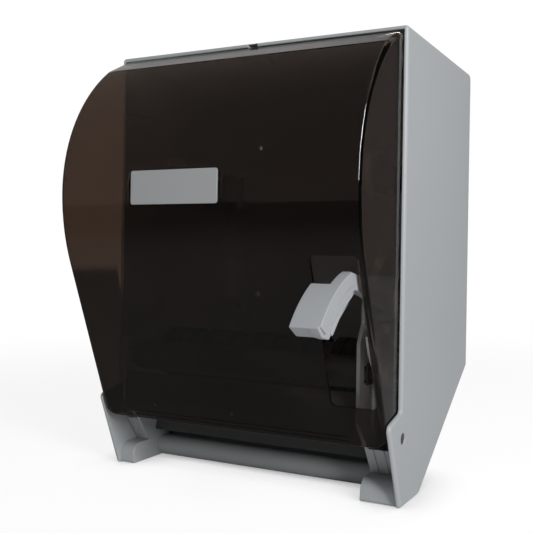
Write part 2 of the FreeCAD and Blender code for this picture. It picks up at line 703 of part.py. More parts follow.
def make_cover():
    outside = cover_outside()
    shell = outside.cut(cover_inside())
    room_behind = box(-COVER_HALF, COVER_HALF, COVER_REAR, 0, LIP_HEIGHT, COVER_TOP_HEIGHT)
    cover = shell.fuse(latch_tab().common(outside.fuse(room_behind)))
    cuts = [lip_corner_cut(-1), lip_corner_cut(1)]
    cuts.append(front_prism(rounded_rectangle(OPENING_LEFT, OPENING_RIGHT, OPENING_BOTTOM, OPENING_TOP, OPENING_R),
                            -ANY, LIP[0] + 4 * COVER_WALL))
    recess = rounded_rectangle(NAMEPLATE_LEFT - RECESS_MARGIN, NAMEPLATE_RIGHT + RECESS_RIGHT_MARGIN,
                               NAMEPLATE_BOTTOM - RECESS_MARGIN, NAMEPLATE_TOP + RECESS_MARGIN, RECESS_R)
    cuts.append(front_prism(recess, -ANY, RECESS_FLOOR))
    cuts.append(rod_x(HINGE_PIN_R + RUNNING_GAP, -ANY, ANY, HINGE))
    return cover.cut(Part.makeCompound(cuts)).removeSplitter()


def make_nameplate():
    outline = rounded_rectangle(NAMEPLATE_LEFT, NAMEPLATE_RIGHT, NAMEPLATE_BOTTOM, NAMEPLATE_TOP, NAMEPLATE_R)
    return front_prism(outline, RECESS_FLOOR - NAMEPLATE_THICKNESS, RECESS_FLOOR)


def make_hinge_pin(side):
    """Pin from the ear through the cover's side wall, with a collar inside the wall."""
    outer = side * (HALF_WIDTH - OVER)
    collar_outer = side * (COVER_HALF - COVER_WALL - COVER_GAP / 4)
    collar_inner = collar_outer - side * HINGE_COLLAR_LENGTH
    stem = rod_x(HINGE_PIN_R, *sorted((outer, collar_inner)), HINGE)
    collar = rod_x(HINGE_PIN_R + HINGE_COLLAR, *sorted((collar_outer, collar_inner)), HINGE)
    return fuse([stem, collar])


# ---- latch --------------------------------------------------------------------------------------

def latch_room(extra):
    """Room round the raised or lowered bolt, larger than it by the given clearance."""
    half = LATCH_BOLT_WIDTH / 2 + extra
    depth = LATCH_BOLT_THICKNESS / 2 + extra
    return (-half, half, LATCH_BOLT_Y - depth, LATCH_BOLT_Y + depth)


def make_latch_body():
    x0, x1, y0, y1 = latch_room(LATCH_GUIDE_GAP)
    ceiling = CABINET_HEIGHT - WALL
    low = LATCH_TAB_TOP + LATCH_LIFT + 1.5 * OVER
    block = box(x0 - LATCH_GUIDE_SIDE, x1 + LATCH_GUIDE_SIDE, y0 - LATCH_GUIDE_WALL, y1 + LATCH_GUIDE_WALL,
                low, ceiling)
    return block.cut(box(x0, x1, y0, y1, low - OVER, ceiling + OVER))


def make_latch_bolt():
    low = LATCH_TAB_TOP + LATCH_LIFT
    return box(*latch_room(0.0), low, low + LATCH_BOLT_LENGTH)


# ---- mechanism frame ----------------------------------------------------------------------------

def plate_lower_corners():
    """Outline below the feed drum, shared by both side plates, from the back wall round to the front."""
    return [
        (FOOT_REAR, FOOT_HIGH),
        (FOOT_REAR, FOOT_LOW),
        (DRUM[0] + 86.0, DRUM[1] - 4.0, 10.0),
        (DRUM[0] + 56.0, DRUM[1] - 44.0, 10.0),
        (DRUM[0] + 14.0, BLOCK_HEIGHT + 6.0, 8.0),
        (DRUM[0] + 4.0, BLOCK_HEIGHT, 2.0),
        FLANGE_LOW,
        FLANGE_HIGH,
        (PLATE_FRONT + 6.0, DRUM[1] - 44.0, 3.0),
        (PLATE_FRONT, DRUM[1] - 36.0, 3.0),
    ]


def plate_cuts(x0, x1):
    """Bearing hole and the window in which the pinch roller's carrier slides."""
    half = CARRIER_HEIGHT / 2
    window = box(x0 - OVER, x1 + OVER, WINDOW_FRONT, PINCH[0] + CARRIER_LENGTH / 2, PINCH[1] - half, PINCH[1] + half)
    return [rod_x(BUSH_R, x0 - OVER, x1 + OVER, DRUM), window]


def plate_foot(x_plate, towards):
    """Foot that turns from a side plate along the back wall, inwards over the screws."""
    x0, x1 = sorted((x_plate, x_plate + towards * (FOOT_WIDTH + 2 * OVER)))
    return front_prism(rounded_rectangle(x0, x1, FOOT_LOW, FOOT_HIGH, 2.0), FOOT_REAR - FOOT_THICKNESS, FOOT_REAR)


def flange_sheet(front, thickness, x0, x1):
    """Sheet along the slope of the lower flange, so far in front of it and so thick."""
    return side_prism([(FLANGE_LOW[0] - front, FLANGE_LOW[1]), (FLANGE_HIGH[0] - front, FLANGE_HIGH[1]),
                       (FLANGE_HIGH[0] - front + thickness, FLANGE_HIGH[1]),
                       (FLANGE_LOW[0] - front + thickness, FLANGE_LOW[1])], x0, x1)


def flange_ribs(x_first, count, pitch):
    ribs = []
    for index in range(count):
        x = x_first + index * pitch
        ribs.append(flange_sheet(OVER, OVER + BED, x - FLANGE_RIB / 2, x + FLANGE_RIB / 2))
    return ribs


def screw_holes():
    return [rod_y(SCREW_R, FOOT_REAR - FOOT_THICKNESS - OVER, FOOT_REAR + OVER, x, z)
            for x, z in chassis_screw_places()]


def upper_flange(x_plate):
    """Upright flange in front of the left side plate, slotted."""
    edge = COVER_WALL + BED - COVER_HALF
    flange = front_prism([(edge, UPPER_FLANGE_LOW), (x_plate, UPPER_FLANGE_LOW),
                          (x_plate, UPPER_FLANGE_HIGH), (edge, UPPER_FLANGE_HIGH - 5.0, 3.0)],
                         PLATE_FRONT + 5.0, PLATE_FRONT + 5.0 + FLANGE_THICKNESS)
    slots = [box(edge + 2 * OVER, x_plate - 2 * OVER, -ANY, 0, UPPER_FLANGE_LOW + low, UPPER_FLANGE_LOW + low + 4.5)
             for low in (10.0, 21.0)]
    return flange.cut(Part.makeCompound(slots))


def make_left_plate():
    x0, x1 = LEFT_PLATE_X
    top = DRUM[1] + 62.0
    outline = plate_lower_corners() + [
        (PLATE_FRONT, DRUM[1] + 12.0, 4.0),
        (PLATE_FRONT + 10.0, DRUM[1] + 19.5, 4.0),
        (DRUM[0] - 4.0, DRUM[1] + 37.0, 3.0),
        (DRUM[0] - 4.0, top, 6.0),
        (DRUM[0] + 62.0, top, 12.0),
        (DRUM[0] + 76.0, FOOT_HIGH, 8.0),
    ]
    rim_front, rim_top = DRUM[0] - BED, top - 3.5
    rim = side_prism([(rim_front, DRUM[1] + 40.0), (rim_front, rim_top), (DRUM[0] + 58.0, rim_top),
                      (DRUM[0] + 58.0, rim_top - CHEEK_RIM), (rim_front + CHEEK_RIM, rim_top - CHEEK_RIM),
                      (rim_front + CHEEK_RIM, DRUM[1] + 40.0)], x0 - 3.0, x0)
    edge = BED - INNER_HALF
    solid = fuse([side_prism(outline, x0, x1), upper_flange(x0), rim, flange_sheet(0.0, FLANGE_THICKNESS, edge, x0),
                  plate_foot(x1, 1)] + flange_ribs(edge + 3.2, 3, 3.4))
    return solid.cut(Part.makeCompound(plate_cuts(x0, x1) + screw_holes()))


def make_right_plate():
    x0, x1 = RIGHT_PLATE_X
    outline = plate_lower_corners() + [
        (PLATE_FRONT, DRUM[1] + 26.0, 8.0),
        (LEVER[0] - CHEEK_R + 4.0, LEVER[1]),
        (LEVER[0] + CHEEK_R - 6.0, LEVER[1]),
        (DRUM[0] + 76.0, FOOT_HIGH, 8.0),
    ]
    cheek = rod_x(CHEEK_R, x0, x1, LEVER)
    rim = arc_band(LEVER, CHEEK_R, CHEEK_R - CHEEK_RIM, 20.0, 150.0, x1 - BED, x1 + CHEEK_RIM_WIDTH)
    flange = flange_sheet(0.0, FLANGE_THICKNESS, x1, INNER_HALF - BED)
    solid = fuse([side_prism(outline, x0, x1), cheek, rim, flange, plate_foot(x0, -1), spring_post()]
                 + stop_posts() + flange_ribs(x1 + 4.0, 3, 9.0))
    lever_hole = rod_x(LEVER_PIN_R, x0 - OVER, x1 + OVER, LEVER)
    return solid.cut(Part.makeCompound(plate_cuts(x0, x1) + screw_holes() + [lever_hole]))


def mesh_angle():
    """Direction from the lever's pivot to the drum's axis."""
    return angle_of(LEVER, DRUM)


def sector_window():
    """Angles between which the sector is open for the pinion, over the whole stroke."""
    pinion_half = math.degrees(math.asin((GEAR_MODULE * PINION_TEETH / 2 + TOOTH_ADDENDUM) / GEAR_CENTRES))
    reach = pinion_half + WINDOW_MARGIN
    return mesh_angle() - LEVER_STROKE - reach, mesh_angle() + reach


def stop_angles():
    """For each stop, the angle where its pad starts and the way it grows from there."""
    window_low, window_high = sector_window()
    return [(window_low - SPOKE - STOP_GAP, -1), (window_high + SPOKE + LEVER_STROKE + STOP_GAP, 1)]


def stop_posts():
    """Posts on the right side plate that end the lever's stroke both ways."""
    posts = []
    for start, way in stop_angles():
        ends = sorted((start + way * BUMPER, start + way * (BUMPER + STOP_POST)))
        posts.append(arc_band(LEVER, STOP_OUTER_R, STOP_INNER_R, *ends, RIGHT_PLATE_X[1] - BED, GEAR_RIGHT))
    return posts


def make_stop_bumpers():
    """Rubber pads on the posts, which the sector's spokes come against."""
    pads = []
    for start, way in stop_angles():
        ends = sorted((start, start + way * BUMPER))
        pads.append(arc_band(LEVER, STOP_OUTER_R - OVER, STOP_INNER_R + OVER, *ends, GEAR_LEFT + BED, GEAR_RIGHT - BED))
    return Part.makeCompound(pads)


def make_front_guide():
    """Front wall of the paper chute, which carries the cutter blade."""
    wall = side_prism([
        (PLATE_FRONT, GUIDE_LOW, 0.8),
        (PLATE_FRONT, GUIDE_HIGH, 3.0),
        (PLATE_FRONT + GUIDE_LIP_BACK, GUIDE_HIGH + GUIDE_LIP_RISE),
        (GUIDE_REAR + GUIDE_LIP_BACK - 0.6, GUIDE_HIGH + GUIDE_LIP_RISE - 1.5),
        (GUIDE_REAR, GUIDE_HIGH - 1.0, 1.5),
        (GUIDE_REAR, GUIDE_LOW, 0.8),
    ], CHANNEL_LEFT, CHANNEL_RIGHT)
    ribs = [box(CHANNEL_LEFT, CHANNEL_RIGHT, PLATE_FRONT - GUIDE_RIB / 2, PLATE_FRONT + BED, z, z + GUIDE_RIB)
            for z in GUIDE_RIB_HEIGHTS]
    return fuse([wall] + ribs).cut(Part.makeCompound(blade_screw_holes()))


def blade_screw_places():
    return [(CHANNEL_MIDDLE + step * BLADE_SCREW_PITCH, BLADE_TIP_HEIGHT + BLADE_SCREW_RISE) for step in (-1, 0, 1)]


def blade_screw_holes():
    return [rod_y(BLADE_SCREW_R, PLATE_FRONT - 2 * OVER, GUIDE_REAR + BLADE_THICKNESS + OVER, x, z)
            for x, z in blade_screw_places()]


def make_cutter_blade():
    """Steel strip with a row of pointed teeth along its lower edge."""
    left = CHANNEL_MIDDLE - BLADE_LENGTH / 2
    count = int(round(BLADE_LENGTH / BLADE_TOOTH_PITCH))
    root = BLADE_TIP_HEIGHT + BLADE_TOOTH_HEIGHT
    top = BLADE_TIP_HEIGHT + BLADE_HEIGHT
    corners = [(left, top), (left, root)]
    for index in range(count):
        start = left + index * BLADE_TOOTH_PITCH
        corners.append((start + BLADE_TOOTH_PITCH / 2, BLADE_TIP_HEIGHT))
        corners.append((start + BLADE_TOOTH_PITCH, root))
    corners.append((left + count * BLADE_TOOTH_PITCH, top))
    blade = front_prism(corners, GUIDE_REAR, GUIDE_REAR + BLADE_THICKNESS)
    return blade.cut(Part.makeCompound(blade_screw_holes()))


def make_blade_screws():
    face = GUIDE_REAR + BLADE_THICKNESS
    return Part.makeCompound([
        fuse([rod_y(BLADE_SCREW_HEAD_R, face, face + BLADE_SCREW_HEAD, x, z),
              rod_y(BLADE_SCREW_R, PLATE_FRONT, face + BED, x, z)])
        for x, z in blade_screw_places()])


def make_rear_guide():
    """Sheet behind and below the drum that turns the towel down the chute, with stripper fingers."""
    arc = arc_band(DRUM, GUIDE_ARC_R + REAR_GUIDE_WALL, GUIDE_ARC_R, REAR_GUIDE_START, REAR_GUIDE_END,
                   CHANNEL_LEFT, CHANNEL_RIGHT)
    corner = at_angle(DRUM, GUIDE_ARC_R, REAR_GUIDE_START)
    drop = math.hypot(corner[0] - CHUTE_FOOT[0], corner[1] - CHUTE_FOOT[1])
    back = (REAR_GUIDE_WALL * (corner[1] - CHUTE_FOOT[1]) / drop, REAR_GUIDE_WALL * (CHUTE_FOOT[0] - corner[0]) / drop)
    wall = side_prism([corner, CHUTE_FOOT, (CHUTE_FOOT[0] + back[0], CHUTE_FOOT[1] + back[1]),
                       (corner[0] + back[0], corner[1] + back[1])], CHANNEL_LEFT, CHANNEL_RIGHT)
    fingers = []
    for index in range(TYRE_COUNT - 1):
        middle = CHANNEL_MIDDLE + (index - (TYRE_COUNT - 2) / 2) * TYRE_PITCH
        fingers.append(arc_band(DRUM, GUIDE_ARC_R + BED, DRUM_CORE_R + FINGER_GAP, FINGER_START, FINGER_END,
                                middle - FINGER_WIDTH / 2, middle + FINGER_WIDTH / 2))
    return fuse([arc, wall] + fingers)


def make_chassis_screws():
    face = FOOT_REAR - FOOT_THICKNESS
    long, thin = SCREW_CROSS / 2, SCREW_CROSS_WIDTH / 2
    screws = []
    for x, z in chassis_screw_places():
        head = rod_y(SCREW_HEAD_R, face - SCREW_HEAD, face, x, z)
        stem = rod_y(SCREW_R, face - BED, -WALL - OVER, x, z)
        cross = [box(x - half_x, x + half_x, face - SCREW_HEAD - OVER, face - SCREW_HEAD / 2, z - half_z, z + half_z)
                 for half_x, half_z in ((long, thin), (thin, long))]
        screws.append(fuse([head, stem]).cut(Part.makeCompound(cross)))
    return Part.makeCompound(screws)


# ---- feed drum and pinch roller -----------------------------------------------------------------

def drum_span():
    return (CHANNEL_LEFT + DRUM_END_GAP, CHANNEL_RIGHT - DRUM_END_GAP)


def tyre_places():
    for index in range(TYRE_COUNT):
        middle = CHANNEL_MIDDLE + (index - (TYRE_COUNT - 1) / 2) * TYRE_PITCH
        yield middle - TYRE_WIDTH / 2, middle + TYRE_WIDTH / 2


def make_drum_core():
    """Hollow spool with a spoked web at each end."""
    x0, x1 = drum_span()
    bore = DRUM_CORE_R - DRUM_WALL
    webs = [ring_x(bore + BED, SHAFT_R, start, start + DRUM_WEB, DRUM) for start in (x0, x1 - DRUM_WEB)]
    core = fuse([ring_x(DRUM_CORE_R, bore, x0, x1, DRUM)] + webs)
    reach = (bore + BUSH_R) / 2 - OVER / 2
    windows = [rod_x(DRUM_WINDOW_R, x0 - OVER, x1 + OVER, at_angle(DRUM, reach, turn * 360.0 / DRUM_WINDOWS))
               for turn in range(DRUM_WINDOWS)]
    return core.cut(Part.makeCompound(windows))


def make_drum_tyres():
    """Rubber tyres, each with two grip grooves round it."""
    tyres = []
    for x0, x1 in tyre_places():
        grooves = [ring_x(DRUM_R + OVER, DRUM_R - TYRE_GROOVE_DEPTH, middle - TYRE_GROOVE / 2,
                          middle + TYRE_GROOVE / 2, DRUM) for middle in (x0 + TYRE_WIDTH / 3, x1 - TYRE_WIDTH / 3)]
        tyres.append(ring_x(DRUM_R, DRUM_CORE_R, x0, x1, DRUM).cut(Part.makeCompound(grooves)))
    return Part.makeCompound(tyres)


def clip_groove_places():
    """Where the grooves for the drum shaft's two clips start."""
    return LEFT_PLATE_X[0] - CLIP_GROOVE - CLIP_RIM / 2, GEAR_RIGHT + CLIP_GROOVE_DEPTH


def make_drum_shaft():
    left, right = clip_groove_places()
    end = 2 * CLIP_GROOVE_DEPTH
    shaft = rod_x(SHAFT_R, left - end, right + CLIP_GROOVE + end, DRUM)
    grooves = [ring_x(SHAFT_R + OVER, SHAFT_R - CLIP_GROOVE_DEPTH, x, x + CLIP_GROOVE, DRUM) for x in (left, right)]
    return shaft.cut(Part.makeCompound(grooves))


def retaining_clip(groove, centre, radius):
    """Snap ring in a shaft's groove, open on one side."""
    x0, x1 = groove + RUNNING_GAP, groove + CLIP_GROOVE - RUNNING_GAP
    ring = ring_x(radius + CLIP_RIM, radius - CLIP_GROOVE_DEPTH, x0, x1, centre)
    return ring.cut(box(x0 - OVER, x1 + OVER, centre[0] - CLIP_SLOT / 2, centre[0] + CLIP_SLOT / 2,
                        centre[1] - radius - CLIP_RIM - OVER, centre[1]))


def make_shaft_clips():
    return Part.makeCompound([retaining_clip(groove, DRUM, SHAFT_R) for groove in clip_groove_places()])


def make_drum_bush(plate_x, towards):
    """Flanged plain bearing in a side plate; the flange lies on the channel side."""
    inner_face = plate_x[1] if towards > 0 else plate_x[0]
    flange = sorted((inner_face, inner_face + towards * BUSH_FLANGE))
    body = fuse([rod_x(BUSH_R, *plate_x, DRUM), rod_x(BUSH_FLANGE_R, *flange, DRUM)])
    return body.cut(rod_x(SHAFT_R + RUNNING_GAP, -ANY, ANY, DRUM))


def make_pinch_roller():
    x0, x1 = drum_span()
    first = x0 + TYRE_WIDTH - PINCH_GROOVE
    grooves = [ring_x(PINCH_R + OVER, PINCH_R - PINCH_GROOVE_DEPTH, first + index * TYRE_PITCH,
                      first + PINCH_GROOVE + index * TYRE_PITCH, PINCH) for index in range(TYRE_COUNT - 1)]
    return ring_x(PINCH_R, SHAFT_R, x0, x1, PINCH).cut(Part.makeCompound(grooves))


def make_pinch_shaft():
    end = CARRIER_CHEEK + CARRIER_GAP * 2
    return rod_x(SHAFT_R, LEFT_PLATE_X[0] - end, RIGHT_PLATE_X[1] + end, PINCH)


def make_pinch_carrier(plate_x):
    """Block that slides in a side plate's window and holds one end of the pinch shaft."""
    half_length, half_height = CARRIER_LENGTH / 2 - CARRIER_GAP, CARRIER_HEIGHT / 2 - CARRIER_GAP
    y, z = PINCH
    inner, outer = plate_x[0] - CARRIER_GAP, plate_x[1] + CARRIER_GAP
    core = box(inner, outer, y - half_length, y + half_length, z - half_height, z + half_height)
    cheek_half = half_height + CARRIER_CHEEK_RIM
    cheeks = [box(x, x + CARRIER_CHEEK, y - half_length, y + half_length, z - cheek_half, z + cheek_half)
              for x in (inner - CARRIER_CHEEK, outer)]
    return fuse([core] + cheeks).cut(rod_x(SHAFT_R + RUNNING_GAP, -ANY, ANY, PINCH))


def make_pinch_springs():
    """Bowed leaf springs between the windows' front ends and the carriers."""
    half_height = CARRIER_HEIGHT / 2 - CARRIER_CHEEK_RIM
    front, rear = WINDOW_FRONT + LEAF_GAP, WINDOW_FRONT + LEAF_ROOM + CARRIER_GAP - RUNNING_GAP
    bow = rear - front
    radius = (half_height ** 2 + bow ** 2) / (2 * bow)
    half_turn = math.degrees(math.asin(half_height / radius))
    centre = (rear - radius, PINCH[1])
    return Part.makeCompound([
        arc_band(centre, radius, radius - LEAF_THICKNESS, -half_turn, half_turn,
                 plate_x[0] + LEAF_GAP, plate_x[1] - LEAF_GAP) for plate_x in (LEFT_PLATE_X, RIGHT_PLATE_X)])


# ---- gears --------------------------------------------------------------------------------------

def involute_half_angle(teeth, radius, backlash):
    """Half the angle that a tooth fills at a radius.

    An internal gear's gap has the outline of an external tooth, so the same rule serves for both:
    the backlash is taken off a tooth and added to a gap.
    """
    pressure = math.radians(PRESSURE_ANGLE)
    pitch_r = GEAR_MODULE * teeth / 2
    base_r = pitch_r * math.cos(pressure)
    here = math.acos(base_r / max(radius, base_r))
    half_at_pitch = (math.pi * GEAR_MODULE - backlash) / (4 * pitch_r)
    return math.degrees(half_at_pitch + math.tan(pressure) - pressure - math.tan(here) + here)


def involute_points(teeth, centre, middle, radii, backlash):
    """One tooth or gap: up one side through the radii and down the other, in order of rising angle."""
    points = [at_angle(centre, radius, middle - involute_half_angle(teeth, radius, backlash)) for radius in radii]
    points += [at_angle(centre, radius, middle + involute_half_angle(teeth, radius, backlash))
               for radius in reversed(radii)]
    return points


def make_drive_pinion():
    pitch_r = GEAR_MODULE * PINION_TEETH / 2
    radii = [pitch_r - TOOTH_DEDENDUM, pitch_r - TOOTH_ADDENDUM / 2, pitch_r, pitch_r + TOOTH_ADDENDUM / 2,
             pitch_r + TOOTH_ADDENDUM]
    points = []
    for index in range(PINION_TEETH):
        middle = mesh_angle() + index * 360.0 / PINION_TEETH
        points += involute_points(PINION_TEETH, DRUM, middle, radii, GEAR_BACKLASH)
    return side_prism(points, GEAR_LEFT, GEAR_RIGHT).cut(rod_x(PINION_BORE_R, -ANY, ANY, DRUM))


def sector_gaps():
    """Middle angles of the sector's tooth gaps; one gap lies at the mesh when the lever is at rest."""
    pitch = 360.0 / SECTOR_TEETH
    edge = pitch / 2
    window_low, window_high = sector_window()
    behind = int((mesh_angle() - window_low - edge) / pitch)
    ahead = int((window_high - mesh_angle() - edge) / pitch)
    return [mesh_angle() + index * pitch for index in range(-behind, ahead + 1)]


def sector_opening():
    """What is cut from the sector between its spokes: the window with the tooth gaps."""
    pitch_r = GEAR_MODULE * SECTOR_TEETH / 2
    tips = pitch_r - INNER_TOOTH_ADDENDUM
    radii = [tips, pitch_r, pitch_r + TOOTH_DEDENDUM / 2, pitch_r + TOOTH_DEDENDUM]
    low, high = sector_window()
    x = GEAR_LEFT
    points = [at_angle(LEVER, tips, low)]
    for middle in sector_gaps():
        points += involute_points(SECTOR_TEETH, LEVER, middle, radii, -GEAR_BACKLASH)
    points.append(at_angle(LEVER, tips, high))
    edges = [line_edge(first, second, x) for first, second in zip(points, points[1:])]
    edges += [
        line_edge(points[-1], at_angle(LEVER, SECTOR_WINDOW_R, high), x),
        arc_edge(LEVER, SECTOR_WINDOW_R, high, low, x),
        line_edge(at_angle(LEVER, SECTOR_WINDOW_R, low), points[0], x),
    ]
    return Part.Face(Part.Wire(edges)).extrude(FreeCAD.Vector(GEAR_RIGHT - GEAR_LEFT, 0, 0))


def make_gear_sector():
    """Stirrup round the drive pinion: two spokes from the hub carry a rim with teeth on its inner side."""
    rim_r = GEAR_MODULE * SECTOR_TEETH / 2 + TOOTH_DEDENDUM + SECTOR_RIM
    window_low, window_high = sector_window()
    low, high = window_low - SPOKE, window_high + SPOKE
    fan = arc_band(LEVER, rim_r, LEVER_HUB_R - 2 * OVER, low, high, GEAR_LEFT, GEAR_RIGHT).cut(sector_opening())
    pocket = arc_band(LEVER, SECTOR_WINDOW_R - 3 * OVER, LEVER_HUB_R + 2 * OVER, low + 2 * SPOKE, high - 2 * SPOKE,
                      GEAR_LEFT + SECTOR_POCKET, GEAR_RIGHT + OVER)
    hub = rod_x(LEVER_HUB_R, GEAR_LEFT, ARM_LEFT, LEVER)
    spring_core = rod_x(SPRING_CORE_R, RIGHT_PLATE_X[1] + BED, GEAR_LEFT, LEVER)
    solid = fuse([fan.cut(pocket), hub, spring_core, spring_catch()])
    cuts = [rod_x(LEVER_PIN_R + RUNNING_GAP, -ANY, ANY, LEVER)]
    cuts += [rod_x(SCREW_R, GEAR_RIGHT - LEVER_OFFSET, ANY, place) for place in lever_screw_places()]
    return solid.cut(Part.makeCompound(cuts))


def lever_screw_places():
    turn = 360.0 / LEVER_SCREWS
    return [at_angle(LEVER, LEVER_HUB_R - LEVER_SCREW_INSET, turn * (index + 0.5)) for index in range(LEVER_SCREWS)]


# ---- lever --------------------------------------------------------------------------------------

def leg_post(way):
    """Centre of the post outside a leg's end: way -1 for the plate's leg, 1 for the sector's."""
    y, z = at_angle(LEVER, SPRING_R + POST_R + SPRING_WIRE / 2 + RUNNING_GAP, SPRING_ANGLE)
    turn = math.radians(SPRING_ANGLE)
    along = way * (SPRING_LEG - 2 * OVER)
    return (y - along * math.sin(turn), z + along * math.cos(turn))


def spring_post():
    """Post on the side plate that holds the spring's fixed leg."""
    return rod_x(POST_R, RIGHT_PLATE_X[1] - BED, RIGHT_PLATE_X[1] + POST_LENGTH, leg_post(-1))


def spring_catch():
    """Post on the sector that the spring's moving leg pushes."""
    return rod_x(POST_R, GEAR_LEFT - POST_LENGTH, GEAR_LEFT + BED, leg_post(1))


def make_return_spring():
    """Torsion spring round the hub, with one leg on the plate's post and one on the sector's."""
    half = SPRING_WIRE / 2
    low = RIGHT_PLATE_X[1] + half + SPRING_END_GAP
    rise = GEAR_LEFT - half - SPRING_END_GAP - low
    steps = SPRING_TURNS * SPRING_SIDES
    points = [FreeCAD.Vector(SPRING_R, -SPRING_LEG, 0)]
    for step in range(steps + 1):
        y, z = at_angle((0.0, 0.0), SPRING_R, 360.0 * step / SPRING_SIDES)
        points.append(FreeCAD.Vector(y, z, rise * step / steps))
    points.append(FreeCAD.Vector(SPRING_R, SPRING_LEG, rise))
    corners = [at_angle((SPRING_R, 0.0), half, 22.5 + 45.0 * side) for side in range(8)]
    ring = [FreeCAD.Vector(y, -SPRING_LEG, z) for y, z in corners]
    spring = Part.makePolygon(points).makePipeShell([Part.makePolygon(ring + ring[:1])], True, False, 1)
    spring.rotate(FreeCAD.Vector(0, 0, 0), FreeCAD.Vector(0, 1, 0), 90)
    spring.rotate(FreeCAD.Vector(0, 0, 0), FreeCAD.Vector(1, 0, 0), SPRING_ANGLE - 270.0)
    spring.translate(FreeCAD.Vector(low, *LEVER))
    return spring


def crown_band(depth, x0, x1, start, tip):
    """Curved band under the lever's crown."""
    return arc_band(CROWN, HANDLE_CROWN_R, HANDLE_CROWN_R - depth, start, tip, x0, x1)


def arm_body(x0, x1):
    """Side view of the whole arm, from the hub to the tip."""
    top = at_angle(CROWN, HANDLE_CROWN_R, CROWN_START)
    tip = at_angle(CROWN, HANDLE_CROWN_R, CROWN_TIP)
    under = [tip] + [at_angle(CROWN, HANDLE_CROWN_R - inset, angle) for inset, angle in ARM_UNDERSIDE]
    under += [(LEVER[0] - 2 * OVER, LEVER[1] + OVER / 3 - LEVER_HUB_R),
              (LEVER[0] + OVER, LEVER[1] + LEVER_HUB_R - OVER / 3), top]
    edges = [arc_edge(CROWN, HANDLE_CROWN_R, CROWN_START, CROWN_TIP, x0)]
    edges += [line_edge(first, second, x0) for first, second in zip(under, under[1:])]
    return Part.Face(Part.Wire(edges)).extrude(FreeCAD.Vector(x1 - x0, 0, 0))


def make_lever_handle():
    """Arm and finger pad, one moulding; the pad's left part is a shell open at the back."""
    face = ARM_RIGHT - ARM_STEP
    arm = arm_body(ARM_LEFT, face)
    ridge = crown_band(PAD_THICKNESS + 2 * OVER, face - BED, ARM_RIGHT, CROWN_START + BED, CROWN_TIP - OVER)
    heel = crown_band(LEVER_HEEL_DEPTH, face - BED, ARM_RIGHT, CROWN_START + BED, CROWN_TIP - 4 * OVER)
    heel = heel.cut(crown_band(LEVER_HEEL_DEPTH - LEVER_HEEL, face - OVER, ARM_RIGHT + OVER, CROWN_START, CROWN_TIP))
    heel = heel.common(arm_body(ARM_LEFT, ARM_RIGHT))
    pad = crown_band(PAD_THICKNESS, HANDLE_LEFT, ARM_LEFT + OVER, CROWN_PAD, CROWN_TIP)
    handle = fuse([arm, ridge, heel, pad, rod_x(LEVER_HUB_R, ARM_LEFT, ARM_RIGHT, LEVER)])
    cuts = [rod_x(LEVER_PIN_R + RUNNING_GAP, -ANY, ANY, LEVER)]
    for place in lever_screw_places():
        cuts.append(rod_x(SCREW_R, ARM_LEFT - OVER, ARM_RIGHT + OVER, place))
        cuts.append(rod_x(SCREW_HEAD_R - 0.8, ARM_RIGHT - 2 * OVER, ARM_RIGHT + OVER, place))
    return handle.cut(Part.makeCompound(cuts))


def make_lever_screws():
    screws = []
    for place in lever_screw_places():
        head = rod_x(SCREW_HEAD_R - 0.9, ARM_RIGHT - 2 * OVER, ARM_RIGHT - COVER_GAP / 2, place)
        stem = rod_x(SCREW_R - 0.1, GEAR_RIGHT - 3.5, ARM_RIGHT - 1.5, place)
        screws.append(fuse([head, stem]))
    return Part.makeCompound(screws)


def pin_groove():
    """Where the groove of the lever pin's clip starts."""
    return ARM_RIGHT + RUNNING_GAP + LEAF_GAP


def make_lever_pin():
    """Headed pin riveted in the right side plate, grooved for its clip."""
    face = RIGHT_PLATE_X[0]
    head = rod_x(LEVER_PIN_R + 3 * OVER, face - LEVER_PIN_HEAD, face, LEVER)
    stem = rod_x(LEVER_PIN_R, face - OVER, pin_groove() + CLIP_GROOVE + OVER, LEVER)
    groove = ring_x(LEVER_PIN_R + OVER, LEVER_PIN_R - CLIP_GROOVE_DEPTH,
                    pin_groove(), pin_groove() + CLIP_GROOVE, LEVER)
    return fuse([head, stem]).cut(groove)


def make_pin_clip():
    return retaining_clip(pin_groove(), LEVER, LEVER_PIN_R)


# ---- one-way clutch -----------------------------------------------------------------------------

def clutch_angles():
    return [CLUTCH_START + index * 360.0 / CLUTCH_ROLLERS for index in range(CLUTCH_ROLLERS)]


def make_clutch_hub():
    """Hub keyed to the drum shaft, with a wedge-shaped pocket for each roller."""
    hub = rod_x(PINION_BORE_R - RUNNING_GAP, GEAR_LEFT, GEAR_RIGHT, DRUM)
    spacer = rod_x(CLUTCH_HUB_R, RIGHT_PLATE_X[1] + LEAF_GAP, GEAR_LEFT, DRUM)
    pockets = [arc_band(DRUM, PINION_BORE_R + OVER, PINION_BORE_R - 2 * (CLUTCH_ROLLER_R + RUNNING_GAP),
                        start - 16.0, start + 30.0, GEAR_LEFT + OVER, GEAR_RIGHT + OVER) for start in clutch_angles()]
    hub = fuse([hub, spacer]).cut(Part.makeCompound(pockets))
    return hub.cut(rod_x(SHAFT_R, -ANY, ANY, DRUM))


def make_clutch_rollers():
    radius = PINION_BORE_R - RUNNING_GAP - CLUTCH_ROLLER_R
    return Part.makeCompound([rod_x(CLUTCH_ROLLER_R, GEAR_LEFT + OVER, GEAR_RIGHT - LEAF_GAP / 2,
                                    at_angle(DRUM, radius, start)) for start in clutch_angles()])


# ---- roll holder --------------------------------------------------------------------------------

